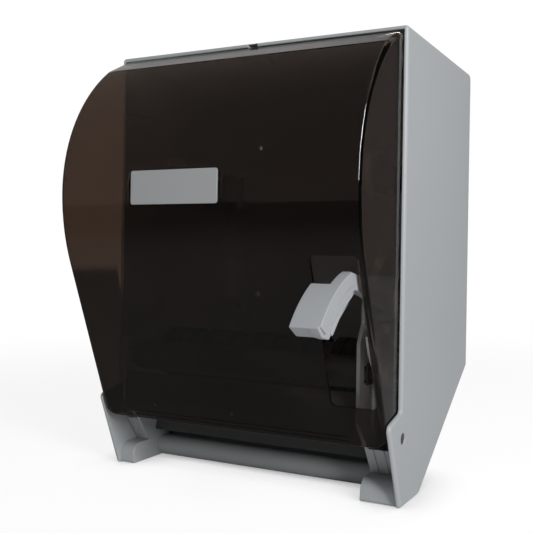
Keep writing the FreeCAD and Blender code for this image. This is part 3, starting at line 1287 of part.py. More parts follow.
def arm_outline(inset, rear, neck_end):
    """Side view of a roll arm, or of its pocket, as far inside the edge as the inset says."""
    z = ROLL_AXIS_HEIGHT
    high, neck = ROLL_ARM_HEIGHT / 2 - inset, ROLL_ARM_HEIGHT / 2 - ROLL_ARM_NECK - inset
    shoulder = -ROLL_ARM_PIN_DEPTH - 25.0
    return [(rear, z - high), (rear, z + high), (shoulder, z + high, 8.0 - inset), (neck_end, z + neck),
            (neck_end, z - neck), (shoulder, z - high, 8.0 - inset)]


def make_roll_arm(side):
    """Springy arm from the back wall to the roll's axis, ribbed on its outer side."""
    x = roll_arm_pin_x(side)
    half = ROLL_ARM_THICKNESS / 2
    pin_y, z = -ROLL_ARM_PIN_DEPTH, ROLL_AXIS_HEIGHT
    neck_end = ROLL_AXIS[0] + ROLL_HUB_R + ROLL_ARM_NECK
    web = fuse([side_prism(arm_outline(0.0, pin_y, ROLL_AXIS[0]), x - half, x + half),
                rod_x(ROLL_HUB_R - BED, x - half, x + half, ROLL_AXIS)])
    floor, outside = x - side * (half - ROLL_ARM_WEB), x + side * (half + OVER)
    pocket = side_prism(arm_outline(3 * OVER, pin_y - 10.0, neck_end), *sorted((floor, outside)))
    rib = box(x - half + BED, x + half - BED, neck_end - OVER, pin_y - 8 * OVER, z - OVER, z + OVER)
    half_height = ROLL_ARM_HEIGHT / 2
    barrel = rod_z(ARM_BARREL_R, z - half_height, z + half_height, x, pin_y)
    stub = rod_x(STUB_R, *sorted((x, x - side * (half + ROLL_HUB_LENGTH - OVER))), ROLL_AXIS)
    bore = rod_z(ROLL_ARM_PIN_R + RUNNING_GAP, z - half_height - OVER, z + half_height + OVER, x, pin_y)
    return fuse([web.cut(pocket), rib, barrel, stub]).cut(bore)


def make_roll_hub(side):
    """Plug that turns in the end of the roll's core."""
    inwards = FreeCAD.Vector(-side, 0, 0)
    start = FreeCAD.Vector(roll_arm_pin_x(side) - side * (ROLL_ARM_THICKNESS / 2 + ROLL_HUB_GAP), *ROLL_AXIS)
    length = ROLL_HUB_LENGTH - ROLL_HUB_GAP
    nose_start = start + inwards * (length - ROLL_HUB_CHAMFER)
    straight = Part.makeCylinder(ROLL_HUB_R, length - ROLL_HUB_CHAMFER, start, inwards)
    nose = Part.makeCone(ROLL_HUB_R, ROLL_HUB_R - ROLL_HUB_CHAMFER, ROLL_HUB_CHAMFER, nose_start, inwards)
    collar = Part.makeCylinder(ROLL_HUB_R + ROLL_HUB_COLLAR, ROLL_HUB_COLLAR_LENGTH, start, inwards)
    cup = Part.makeCylinder(ROLL_HUB_R - ROLL_HUB_WALL, length, start + inwards * ROLL_HUB_WALL, inwards)
    core = Part.makeCylinder(STUB_R + ROLL_HUB_WALL, length, start, inwards)
    hub = fuse([fuse([straight, nose, collar]).cut(cup), core])
    return hub.cut(rod_x(STUB_R + RUNNING_GAP, -ANY, ANY, ROLL_AXIS))


def make_roll_arm_pin(side):
    reach = arm_lug_reach() + OVER
    return rod_z(ROLL_ARM_PIN_R, ROLL_AXIS_HEIGHT - reach, ROLL_AXIS_HEIGHT + reach, roll_arm_pin_x(side),
                 -ROLL_ARM_PIN_DEPTH)


# ---- writing the files --------------------------------------------------------------------------

def save(name, shape):
    placed = shape.copy()
    placed.translate(FreeCAD.Vector(0, 0, -WALL_MOUNT_HEIGHT))
    placed.exportStep("parts/" + name + ".step")


def main():
    os.makedirs("parts", exist_ok=True)
    save("cabinet", make_cabinet())
    save("bottom_panel", make_bottom_panel())
    save("cover", make_cover())
    save("nameplate", make_nameplate())
    save("hinge_pin_left", make_hinge_pin(-1))
    save("hinge_pin_right", make_hinge_pin(1))
    save("latch_body", make_latch_body())
    save("latch_bolt", make_latch_bolt())
    save("left_side_plate", make_left_plate())
    save("right_side_plate", make_right_plate())
    save("chassis_screws", make_chassis_screws())
    save("front_guide", make_front_guide())
    save("rear_guide", make_rear_guide())
    save("cutter_blade", make_cutter_blade())
    save("blade_screws", make_blade_screws())
    save("drum_core", make_drum_core())
    save("drum_tyres", make_drum_tyres())
    save("drum_shaft", make_drum_shaft())
    save("drum_bush_left", make_drum_bush(LEFT_PLATE_X, 1))
    save("drum_bush_right", make_drum_bush(RIGHT_PLATE_X, -1))
    save("shaft_clips", make_shaft_clips())
    save("clutch_hub", make_clutch_hub())
    save("clutch_rollers", make_clutch_rollers())
    save("drive_pinion", make_drive_pinion())
    save("gear_sector", make_gear_sector())
    save("lever_handle", make_lever_handle())
    save("lever_screws", make_lever_screws())
    save("lever_pin", make_lever_pin())
    save("lever_pin_clip", make_pin_clip())
    save("return_spring", make_return_spring())
    save("stop_bumpers", make_stop_bumpers())
    save("pinch_roller", make_pinch_roller())
    save("pinch_shaft", make_pinch_shaft())
    save("pinch_carrier_left", make_pinch_carrier(LEFT_PLATE_X))
    save("pinch_carrier_right", make_pinch_carrier(RIGHT_PLATE_X))
    save("pinch_springs", make_pinch_springs())
    save("roll_arm_left", make_roll_arm(-1))
    save("roll_arm_right", make_roll_arm(1))
    save("roll_hub_left", make_roll_hub(-1))
    save("roll_hub_right", make_roll_hub(1))
    save("roll_arm_pin_left", make_roll_arm_pin(-1))
    save("roll_arm_pin_right", make_roll_arm_pin(1))


main()
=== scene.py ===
"""Finishes and details of a lever roll-towel dispenser: grey mouldings, a smoked cover and its mechanism."""

import json
import math

import bmesh
import bpy
from mathutils import Matrix, Vector
from mathutils.bvhtree import BVHTree


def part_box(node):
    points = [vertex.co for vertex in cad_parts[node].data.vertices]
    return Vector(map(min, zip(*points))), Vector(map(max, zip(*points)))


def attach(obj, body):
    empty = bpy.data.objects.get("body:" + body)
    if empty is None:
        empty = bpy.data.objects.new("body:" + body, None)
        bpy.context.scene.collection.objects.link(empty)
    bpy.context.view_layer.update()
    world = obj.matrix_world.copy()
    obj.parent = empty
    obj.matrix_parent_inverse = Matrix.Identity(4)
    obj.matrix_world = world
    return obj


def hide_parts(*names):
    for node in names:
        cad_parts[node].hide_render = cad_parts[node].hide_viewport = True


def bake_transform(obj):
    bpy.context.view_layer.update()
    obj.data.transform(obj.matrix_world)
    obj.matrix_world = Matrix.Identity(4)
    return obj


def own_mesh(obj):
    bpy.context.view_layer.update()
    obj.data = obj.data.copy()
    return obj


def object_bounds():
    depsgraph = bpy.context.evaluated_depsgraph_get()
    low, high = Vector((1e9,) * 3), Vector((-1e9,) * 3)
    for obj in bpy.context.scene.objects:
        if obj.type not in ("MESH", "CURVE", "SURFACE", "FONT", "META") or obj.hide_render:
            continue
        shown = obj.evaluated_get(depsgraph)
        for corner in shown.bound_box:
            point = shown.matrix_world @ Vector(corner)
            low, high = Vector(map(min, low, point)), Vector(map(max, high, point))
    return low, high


bl_info = {
    "name": "Lever Towel Dispenser",
    "version": (1, 0, 0),
    "blender": (4, 5, 0),
    "location": "3D View > Sidebar > Dispenser",
    "description": "Finishes and details of a wall-mounted roll towel dispenser",
    "category": "Object",
}

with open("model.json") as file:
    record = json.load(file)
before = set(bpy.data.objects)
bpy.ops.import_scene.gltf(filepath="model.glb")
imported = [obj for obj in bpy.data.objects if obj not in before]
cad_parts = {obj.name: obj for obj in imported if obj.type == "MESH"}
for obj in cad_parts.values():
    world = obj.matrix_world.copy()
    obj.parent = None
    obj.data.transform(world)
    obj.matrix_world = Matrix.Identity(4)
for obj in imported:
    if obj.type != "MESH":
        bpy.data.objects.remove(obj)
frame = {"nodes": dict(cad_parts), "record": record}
CAD_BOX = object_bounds()
MM = 0.001
LOWEST = CAD_BOX[0].z
MERGE_WITHIN = 0.002 * MM
FLAT_WITHIN = math.radians(0.4)
SMOOTH_BELOW = math.radians(33.0)
ROUNDED_ABOVE = math.radians(38.0)
SPRING_SMOOTH_BELOW = math.radians(50.0)


# ---- sizes and colours ---------------------------------------------------------------------------

def colour(name, description, default):
    return bpy.props.FloatVectorProperty(name=name, description=description, default=default,
                                         subtype="COLOR", size=3, min=0.0, max=1.0)


def length(name, description, default):
    return bpy.props.FloatProperty(name=name, description=description, default=default,
                                   unit="LENGTH", min=0.0, precision=5)


def share(name, description, default):
    return bpy.props.FloatProperty(name=name, description=description, default=default,
                                   subtype="FACTOR", min=0.0, max=1.0)


class DispenserFinishes(bpy.types.PropertyGroup):
    """Colours and gloss of the dispenser's plastics, steels and rubber."""
    cabinet_grey: colour("Cabinet grey", "Moulded cabinet, floor, end blocks and side plates",
                         (0.365, 0.385, 0.395))
    lever_grey: colour("Lever grey", "Lever arm and finger pad", (0.355, 0.37, 0.385))
    # The inner mouldings' own grey, made darker still as painted shade for the dim inside of the cabinet.
    inner_grey_and_shade: colour("Inner mouldings", "Guides, roll arms and roller inside the cabinet",
                       (0.055, 0.055, 0.055))
    smoke: colour("Cover smoke", "What one wall of the smoked cover lets through", (0.205, 0.158, 0.132))
    plate_grey: colour("Nameplate", "Bare nameplate", (0.335, 0.345, 0.35))
    acetal: colour("Gears and bushes", "Natural acetal", (0.52, 0.51, 0.47))
    steel: colour("Steel", "Shafts and rollers", (0.56, 0.57, 0.58))
    # The cutter's steel is darkened far below the other steels as painted shade, so the blade looks shadowed
    # under the cover's lip.
    blade: colour("Blade", "Cutter steel darkened as painted shade", (0.085, 0.088, 0.095))
    zinc: colour("Zinc", "Plated screws and pins", (0.62, 0.62, 0.61))
    wire: colour("Spring wire", "Springs and clips", (0.42, 0.42, 0.43))
    rubber: colour("Rubber", "Drum tyres and stop pads", (0.022, 0.022, 0.022))


class DispenserSizes(bpy.types.PropertyGroup):
    """Sizes of the details that are added to the machine's solids."""
    rim_edge: length("Rim edge", "Rounding of the cabinet's outer front rim", 3.1 * MM)
    cabinet_edge: length("Cabinet edge", "Rounding of the cabinet's other edges", 0.7 * MM)
    cover_edge: length("Cover edge", "Rounding of the cover's edges", 0.5 * MM)
    lever_edge: length("Lever edge", "Rounding of the lever's edges", 0.7 * MM)
    small_edge: length("Small edge", "Rounding of the small mouldings' edges", 0.3 * MM)
    top_rise: length("Top rise", "How far the rear edge of the cover's top strip is lifted", 2.0 * MM)
    bead_height: length("Bead height", "Lower lip bead above the cabinet's base", 52.0 * MM)
    bead_pitch: length("Bead pitch", "From one lip bead to the next", 3.4 * MM)
    bead_radius: length("Bead radius", "Radius of the lip beads", 0.55 * MM)
    bead_length: length("Bead length", "Length of the lip beads", 206.0 * MM)
    bead_middle: length("Bead middle", "Middle of the lip beads, to the right of the cabinet's", 2.0 * MM)
    pad_depth: length("Pad depth", "Thickness of the lever's finger pad", 12.5 * MM)


class DispenserStudio(bpy.types.PropertyGroup):
    """Level of the studio's lamp and surroundings."""
    key_power: bpy.props.FloatProperty(name="Key lamp", description="Tall soft lamp on the right",
                                       default=30.0, unit="POWER", min=0.0)
    surroundings: share("Surroundings", "Light that comes evenly from all round", 0.22)
    wall_gloss: share("Wall in gloss", "How bright the wall behind looks in gloss", 0.45)
    floor_gloss: share("Floor in gloss", "How bright the floor behind looks in gloss", 0.18)
    room_gloss: share("Room in gloss", "How bright the rest of the room looks in gloss", 0.04)


# ---- shared shader effects -----------------------------------------------------------------------

def new_group(name, inputs, outputs):
    """Node group with its sockets, and its input and output nodes."""
    group = bpy.data.node_groups.new(name, "ShaderNodeTree")
    for label, kind, default in inputs:
        socket = group.interface.new_socket(label, in_out="INPUT", socket_type=kind)
        if default is not None:
            socket.default_value = default
    for label, kind in outputs:
        group.interface.new_socket(label, in_out="OUTPUT", socket_type=kind)
    return group, group.nodes.new("NodeGroupInput"), group.nodes.new("NodeGroupOutput")


def add_math(tree, operation, first, second=None, clamp=False):
    """Math node whose inputs are sockets or numbers."""
    node = tree.nodes.new("ShaderNodeMath")
    node.operation = operation
    node.use_clamp = clamp
    for index, value in enumerate((first, second)):
        if value is None:
            continue
        if isinstance(value, (int, float)):
            node.inputs[index].default_value = value
        else:
            tree.links.new(value, node.inputs[index])
    return node.outputs["Value"]


def add_ramp(tree, value, start, end, low, high):
    """Smooth step of a value from low to high between start and end."""
    node = tree.nodes.new("ShaderNodeMapRange")
    node.interpolation_type = "SMOOTHSTEP"
    for label, number in (("From Min", start), ("From Max", end), ("To Min", low), ("To Max", high)):
        node.inputs[label].default_value = number
    tree.links.new(value, node.inputs["Value"])
    return node.outputs["Result"]


def add_noise(tree, vector, scale, detail=3.0, roughness=0.55):
    node = tree.nodes.new("ShaderNodeTexNoise")
    node.inputs["Detail"].default_value = detail
    node.inputs["Roughness"].default_value = roughness
    tree.links.new(vector, node.inputs["Vector"])
    if isinstance(scale, (int, float)):
        node.inputs["Scale"].default_value = scale
    else:
        tree.links.new(scale, node.inputs["Scale"])
    return node.outputs["Fac"]


def mould_grain():
    """Fine even texture that a spark-eroded mould leaves on plastic."""
    group, given, result = new_group(
        "Mould Grain",
        [("Vector", "NodeSocketVector", None), ("Scale", "NodeSocketFloat", 1800.0)],
        [("Height", "NodeSocketFloat")])
    fine = add_noise(group, given.outputs["Vector"], given.outputs["Scale"], 2.0)
    coarse_scale = add_math(group, "MULTIPLY", given.outputs["Scale"], 0.31)
    coarse = add_noise(group, given.outputs["Vector"], coarse_scale, 2.0)
    group.links.new(add_math(group, "ADD", fine, coarse), result.inputs["Height"])
    return group


def uneven_tone():
    """Slow drift of a colour and its gloss over a large moulding."""
    group, given, result = new_group(
        "Uneven Tone",
        [("Color", "NodeSocketColor", None), ("Vector", "NodeSocketVector", None),
         ("Scale", "NodeSocketFloat", 9.0), ("Amount", "NodeSocketFloat", 0.06),
         ("Roughness", "NodeSocketFloat", 0.5), ("Gloss Drift", "NodeSocketFloat", 0.08)],
        [("Color", "NodeSocketColor"), ("Roughness", "NodeSocketFloat")])
    noise = add_noise(group, given.outputs["Vector"], given.outputs["Scale"], 4.0)
    drift = add_math(group, "SUBTRACT", noise, 0.5)
    value = add_math(group, "ADD", add_math(group, "MULTIPLY", drift, given.outputs["Amount"]), 1.0)
    tone = group.nodes.new("ShaderNodeHueSaturation")
    group.links.new(value, tone.inputs["Value"])
    group.links.new(given.outputs["Color"], tone.inputs["Color"])
    group.links.new(tone.outputs["Color"], result.inputs["Color"])
    rough = add_math(group, "ADD", add_math(group, "MULTIPLY", drift, given.outputs["Gloss Drift"]),
                     given.outputs["Roughness"], clamp=True)
    group.links.new(rough, result.inputs["Roughness"])
    return group


def settled_dust():
    """Thin dust where a face looks upwards."""
    group, given, result = new_group(
        "Settled Dust",
        [("Vector", "NodeSocketVector", None), ("Scale", "NodeSocketFloat", 140.0),
         ("Amount", "NodeSocketFloat", 0.15)],
        [("Mask", "NodeSocketFloat")])
    place = group.nodes.new("ShaderNodeNewGeometry")
    split = group.nodes.new("ShaderNodeSeparateXYZ")
    group.links.new(place.outputs["Normal"], split.inputs["Vector"])
    upward = add_math(group, "SMOOTH_MIN", add_math(group, "MAXIMUM", split.outputs["Z"], 0.0), 1.0)
    specks = add_noise(group, given.outputs["Vector"], given.outputs["Scale"], 5.0, 0.7)
    spread = add_math(group, "MULTIPLY", add_math(group, "POWER", upward, 3.0), specks)
    dust = add_math(group, "MULTIPLY", spread, given.outputs["Amount"], clamp=True)
    group.links.new(dust, result.inputs["Mask"])
    return group


def drawn_lines():
    """Fine parallel lines of drawn, turned or brushed metal; the grain lies along X."""
    group, given, result = new_group(
        "Drawn Lines",
        [("Vector", "NodeSocketVector", None), ("Scale", "NodeSocketFloat", 1500.0)],
        [("Height", "NodeSocketFloat")])
    stretch = group.nodes.new("ShaderNodeMapping")
    stretch.inputs["Scale"].default_value = (0.04, 1.0, 1.0)
    group.links.new(given.outputs["Vector"], stretch.inputs["Vector"])
    lines = add_noise(group, stretch.outputs["Vector"], given.outputs["Scale"], 3.0)
    group.links.new(lines, result.inputs["Height"])
    return group


def wiping_marks():
    """Faint smears that wiping leaves in the gloss of a cover."""
    group, given, result = new_group(
        "Wiping Marks",
        [("Vector", "NodeSocketVector", None), ("Roughness", "NodeSocketFloat", 0.06),
         ("Smear", "NodeSocketFloat", 0.08)],
        [("Roughness", "NodeSocketFloat")])
    turn = group.nodes.new("ShaderNodeMapping")
    turn.inputs["Rotation"].default_value = (0.0, math.radians(28.0), 0.0)
    turn.inputs["Scale"].default_value = (0.16, 1.0, 1.0)
    group.links.new(given.outputs["Vector"], turn.inputs["Vector"])
    smears = add_noise(group, turn.outputs["Vector"], 38.0, 5.0, 0.6)
    smeared = add_math(group, "MULTIPLY", add_math(group, "POWER", smears, 2.5), given.outputs["Smear"])
    rough = add_math(group, "ADD", smeared, given.outputs["Roughness"], clamp=True)
    group.links.new(rough, result.inputs["Roughness"])
    return group


EFFECTS = {}


def effect(maker):
    if maker not in EFFECTS:
        EFFECTS[maker] = maker()
    return EFFECTS[maker]


# ---- materials -----------------------------------------------------------------------------------

def new_material(name):
    """Material with its tree, its shader and the object's own coordinates."""
    material = bpy.data.materials.new(name)
    material.use_nodes = True
    tree = material.node_tree
    shader = tree.nodes["Principled BSDF"]
    place = tree.nodes.new("ShaderNodeTexCoord")
    return material, tree, shader, place.outputs["Object"]


def put_effect(tree, maker, vector, **values):
    """Effect in a material, with values for its inputs; an underscore stands for a space."""
    node = tree.nodes.new("ShaderNodeGroup")
    node.node_tree = effect(maker)
    tree.links.new(vector, node.inputs["Vector"])
    for label, value in values.items():
        node.inputs[label.replace("_", " ")].default_value = value
    return node


def put_bump(tree, shader, height, distance):
    bump = tree.nodes.new("ShaderNodeBump")
    bump.inputs["Distance"].default_value = distance
    bump.inputs["Strength"].default_value = 1.0
    tree.links.new(height, bump.inputs["Height"])
    tree.links.new(bump.outputs["Normal"], shader.inputs["Normal"])


# Places of a mix node's sockets for two colours and their mixture.
COLOUR_A, COLOUR_B, MIXED_COLOUR = 6, 7, 2

PLASTIC_IOR = 1.5
DUST = (0.42, 0.41, 0.39, 1.0)
RUBBER_DUST = (0.35, 0.34, 0.33, 1.0)
METAL_LINE_DEPTH = 0.00003
RUBBER_GRAIN_DEPTH = 0.0001


def mix_over(tree, factor, below, above):
    """The colour above laid over the colour below, as far as the factor says."""
    mix = tree.nodes.new("ShaderNodeMix")
    mix.data_type = "RGBA"
    tree.links.new(factor, mix.inputs["Factor"])
    tree.links.new(below, mix.inputs[COLOUR_A])
    mix.inputs[COLOUR_B].default_value = above
    return mix.outputs[MIXED_COLOUR]


def moulded_plastic(name, tint, roughness, grain_depth, dust):
    """Matte moulded plastic with mould grain, drifting tone and a little dust."""
    material, tree, shader, vector = new_material(name)
    tone = put_effect(tree, uneven_tone, vector, Color=(*tint, 1.0), Scale=7.0, Amount=0.07,
                      Roughness=roughness, Gloss_Drift=0.1)
    grain = put_effect(tree, mould_grain, vector, Scale=1900.0)
    layer = put_effect(tree, settled_dust, vector, Scale=160.0, Amount=dust)
    dusted = mix_over(tree, layer.outputs["Mask"], tone.outputs["Color"], DUST)
    tree.links.new(dusted, shader.inputs["Base Color"])
    tree.links.new(tone.outputs["Roughness"], shader.inputs["Roughness"])
    shader.inputs["IOR"].default_value = PLASTIC_IOR
    put_bump(tree, shader, grain.outputs["Height"], grain_depth)
    return material


def smoked_clear_plastic(name, passed):
    """Clear plastic with a brown-grey smoke, polished outside and in.

    passed is the colour that one wall lets through.
    """
    material, tree, shader, vector = new_material(name)
    tone = put_effect(tree, uneven_tone, vector, Color=(*passed, 1.0), Scale=5.0, Amount=0.12,
                      Roughness=0.05, Gloss_Drift=0.02)
    marks = put_effect(tree, wiping_marks, vector, Roughness=0.035, Smear=0.07)
    tree.links.new(tone.outputs["Color"], shader.inputs["Base Color"])
    tree.links.new(marks.outputs["Roughness"], shader.inputs["Roughness"])
    shader.inputs["Transmission Weight"].default_value = 1.0
    shader.inputs["IOR"].default_value = PLASTIC_IOR
    return material


def worked_metal(name, tint, roughness, line_scale):
    """Drawn or turned metal with fine lines."""
    material, tree, shader, vector = new_material(name)
    tone = put_effect(tree, uneven_tone, vector, Color=(*tint, 1.0), Scale=60.0, Amount=0.12,
                      Roughness=roughness, Gloss_Drift=0.15)
    lines = put_effect(tree, drawn_lines, vector, Scale=line_scale)
    tree.links.new(tone.outputs["Color"], shader.inputs["Base Color"])
    tree.links.new(tone.outputs["Roughness"], shader.inputs["Roughness"])
    shader.inputs["Metallic"].default_value = 1.0
    put_bump(tree, shader, lines.outputs["Height"], METAL_LINE_DEPTH)
    return material


def moulded_rubber(name, tint):
    material, tree, shader, vector = new_material(name)
    tone = put_effect(tree, uneven_tone, vector, Color=(*tint, 1.0), Scale=90.0, Amount=0.5,
                      Roughness=0.72, Gloss_Drift=0.2)
    grain = put_effect(tree, mould_grain, vector, Scale=900.0)
    layer = put_effect(tree, settled_dust, vector, Scale=220.0, Amount=0.25)
    dusted = mix_over(tree, layer.outputs["Mask"], tone.outputs["Color"], RUBBER_DUST)
    tree.links.new(dusted, shader.inputs["Base Color"])
    tree.links.new(tone.outputs["Roughness"], shader.inputs["Roughness"])
    put_bump(tree, shader, grain.outputs["Height"], RUBBER_GRAIN_DEPTH)
    return material


FINISHES = {}


def finish_of(slot_name):
    """Material of one of the record's slots or of the blade, whose darkened steel is painted shade, made when
    it is first asked for.

    The numbers are roughness, grain depth and dust of the plastics, and roughness and line scale of the metals.
    """
    if slot_name not in FINISHES:
        given = bpy.context.scene.dispenser_finishes
        makers = {
            "grey_moulding": lambda: moulded_plastic("Grey Moulding", given.cabinet_grey, 0.42, 0.00005, 0.05),
            # The inner mouldings' grey is partly painted shade.
            "inner_moulding": lambda: moulded_plastic("Inner Moulding", given.inner_grey_and_shade, 0.5, 0.00005, 0.12),
            "lever_plastic": lambda: moulded_plastic("Lever Plastic", given.lever_grey, 0.38, 0.00004, 0.03),
            "nameplate": lambda: moulded_plastic("Nameplate Plastic", given.plate_grey, 0.34, 0.00002, 0.0),
            "gear_plastic": lambda: moulded_plastic("Acetal", given.acetal, 0.36, 0.00002, 0.05),
            "smoked_cover": lambda: smoked_clear_plastic("Smoked Cover", given.smoke),
            "steel": lambda: worked_metal("Brushed Steel", given.steel, 0.32, 1600.0),
            # The blade's dark steel is painted shade under the cover's lip.
            "blade": lambda: worked_metal("Shade Darkened Steel", given.blade, 0.4, 1600.0),
            "zinc_steel": lambda: worked_metal("Zinc Plate", given.zinc, 0.28, 900.0),
            "spring_steel": lambda: worked_metal("Spring Wire", given.wire, 0.3, 2400.0),
            "rubber": lambda: moulded_rubber("Moulded Rubber", given.rubber),
        }
        FINISHES[slot_name] = makers[slot_name]()
    return FINISHES[slot_name]


def slot_of(node):
    return next(part["material_slot"] for part in frame["record"]["subparts"] if part["node"] == node)


# ---- making pieces -------------------------------------------------------------------------------

def body_of(node):
    return next(body for body, nodes in frame["record"]["behaviour"]["bodies"].items() if node in nodes)


def finish_piece(name, mesh, slot_name, body, replaced=()):
    """Object at the origin from a finished mesh, with its finish and the one body it moves with, if any."""
    piece = bpy.data.objects.new(name, mesh)
    bpy.context.scene.collection.objects.link(piece)
    mesh.materials.clear()
    mesh.materials.append(finish_of(slot_name))
    if body:
        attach(piece, body)
    if replaced:
        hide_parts(*replaced)
    return piece


def mesh_from(shape, name):
    """Mesh made from a bmesh, which is freed."""
    mesh = bpy.data.meshes.new(name)
    shape.to_mesh(mesh)
    shape.free()
    return mesh


def merged_copy(node):
    """A node's shape as a bmesh of whole flat faces."""
    shape = bmesh.new()
    shape.from_mesh(frame["nodes"][node].data)
    bmesh.ops.remove_doubles(shape, verts=shape.verts, dist=MERGE_WITHIN)
    bmesh.ops.dissolve_limit(shape, angle_limit=FLAT_WITHIN, verts=shape.verts, edges=shape.edges)
    return shape


def plain_mesh(node):
    """A node's vertices and faces, to cast rays at."""
    data = frame["nodes"][node].data
    return [vertex.co.copy() for vertex in data.vertices], [tuple(face.vertices) for face in data.polygons]


def middle_of(edge):
    return (edge.verts[0].co + edge.verts[1].co) / 2.0


def rounded_copy(node, name, radius, segments=2, share_at=None, reshape=None):
    """A node's shape with its outward edges rounded; it stands in for the node.

    share_at gives the share of the radius that an edge gets from the place of its middle, and reshape moves
    the vertices first.
    """
    shape = merged_copy(node)
    for face in shape.faces:
        face.smooth = True
    if reshape:
        reshape(shape)
    weight = shape.edges.layers.float.new("bevel_weight_edge")
    for edge in shape.edges:
        turn = edge.calc_face_angle_signed(0.0)
        edge.smooth = abs(turn) < SMOOTH_BELOW
        if turn > ROUNDED_ABOVE:
            edge[weight] = share_at(edge) if share_at else 1.0
            edge.smooth = edge[weight] > 0.0
    piece = finish_piece(name, mesh_from(shape, name), slot_of(node), body_of(node), [node])
    edges = piece.modifiers.new("Rounded edges", "BEVEL")
    edges.width = radius
    edges.segments = segments
    edges.limit_method = "WEIGHT"
    edges.use_clamp_overlap = False
    flats = piece.modifiers.new("Even flats", "WEIGHTED_NORMAL")
    flats.keep_sharp = True
    return piece


# ---- pieces --------------------------------------------------------------------------------------

class MESH_OT_dispenser_finish_solids(bpy.types.Operator):
    """Give every solid of the dispenser its finish"""
    bl_idname = "mesh.dispenser_finish_solids"
    bl_label = "Finish the Solids"

    def execute(self, context):
        for node, solid in frame["nodes"].items():
            solid.data.materials.clear()
            # The cutter blade gets the darkened steel that paints its shade.
            solid.data.materials.append(finish_of("blade" if node == "cutter_blade" else slot_of(node)))
        return {"FINISHED"}


def rim_rounding(wide, small, low_end):
    """Share of the wide radius for each of the cabinet's edges.

    The outer rim of the open front is rounded widely, other edges a little, and the thin feet not at all.
    """
    low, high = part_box("cabinet")
    front = min(vertex.co.y for vertex in frame["nodes"]["cabinet"].data.vertices if vertex.co.z > high.z - MM)
    front_band, top_band, almost_width = 0.2 * MM, 0.5 * MM, 279.0 * MM

    def share_at(edge):
        place = middle_of(edge)
        ends = [vertex.co.y for vertex in edge.verts]
        on_rim = all(abs(y - front) < front_band for y in ends)
        from_far_side = max(abs(low.x - place.x), abs(high.x - place.x))
        outside = place.z > high.z - top_band or from_far_side > almost_width
        if place.z < LOWEST + low_end:
            return 0.0
        return 1.0 if on_rim and outside else small / wide
    return share_at


RIM_SEGMENTS = 4
FEET_HEIGHT = 4.0 * MM


class MESH_OT_dispenser_cabinet(bpy.types.Operator):
    """Round the moulded edges of the cabinet and its sloping floor"""
    bl_idname = "mesh.dispenser_cabinet"
    bl_label = "Cabinet Edges"

    def execute(self, context):
        sizes = context.scene.dispenser_sizes
        rounded_copy("cabinet", "cabinet_moulding", sizes.rim_edge, RIM_SEGMENTS,
                     rim_rounding(sizes.rim_edge, sizes.cabinet_edge, FEET_HEIGHT))
        rounded_copy("bottom_panel", "floor_moulding", sizes.small_edge)
        return {"FINISHED"}


def raised_top_edge(rise):
    """Lifts the rear edge of the cover's top strip, and the strip with it as far as its crease."""
    rear, run, crease, slack = -174.3 * MM, 23.7 * MM, 122.0 * MM, 0.02 * MM

    def reshape(shape):
        for vertex in shape.verts:
            if vertex.co.z > crease and rear - run < vertex.co.y < rear + slack:
                vertex.co.z += rise * (vertex.co.y - rear + run) / run
    return reshape


class MESH_OT_dispenser_cover(bpy.types.Operator):
    """Round the edges of the smoked cover and of its nameplate"""
    bl_idname = "mesh.dispenser_cover"
    bl_label = "Cover and Nameplate"

    def execute(self, context):
        sizes = context.scene.dispenser_sizes
        rounded_copy("cover", "cover_moulding", sizes.cover_edge, reshape=raised_top_edge(sizes.top_rise))
        rounded_copy("nameplate", "nameplate_moulding", sizes.small_edge)
        return {"FINISHED"}


BEAD_SIDES = 12
BEAD_END_SEGMENTS = 3
BEAD_END_SHARE = 0.9
RAY_START = -0.5


class MESH_OT_dispenser_lip_beads(bpy.types.Operator):
    """Run the stiffening beads along the outside of the cover's lip"""
    bl_idname = "mesh.dispenser_lip_beads"
    bl_label = "Lip Beads"

    def execute(self, context):
        sizes = context.scene.dispenser_sizes
        outside = BVHTree.FromPolygons(*plain_mesh("cover"))
        shape = bmesh.new()
        for height in (sizes.bead_height, sizes.bead_height + sizes.bead_pitch):
            z = LOWEST + height
            place = outside.ray_cast(Vector((0.0, RAY_START, z)), Vector((0.0, 1.0, 0.0)))[0]
            turned = (Matrix.Translation((sizes.bead_middle, place.y, z))
                      @ Matrix.Rotation(math.radians(90.0), 4, "Y"))
            made = bmesh.ops.create_cone(shape, cap_ends=True, segments=BEAD_SIDES, radius1=sizes.bead_radius,
                                         radius2=sizes.bead_radius, depth=sizes.bead_length, matrix=turned)
            rims = {edge for vertex in made["verts"] for edge in vertex.link_edges
                    if abs(edge.verts[0].co.x - edge.verts[1].co.x) < 0.01 * MM}
            bmesh.ops.bevel(shape, geom=list(rims), offset=sizes.bead_radius * BEAD_END_SHARE,
                            offset_type="OFFSET", segments=BEAD_END_SEGMENTS, profile=0.5, affect="EDGES",
                            material=-1)
        for face in shape.faces:
            face.smooth = True
        finish_piece("lip_beads", mesh_from(shape, "lip_beads"), slot_of("cover"), body_of("cover"))
        return {"FINISHED"}


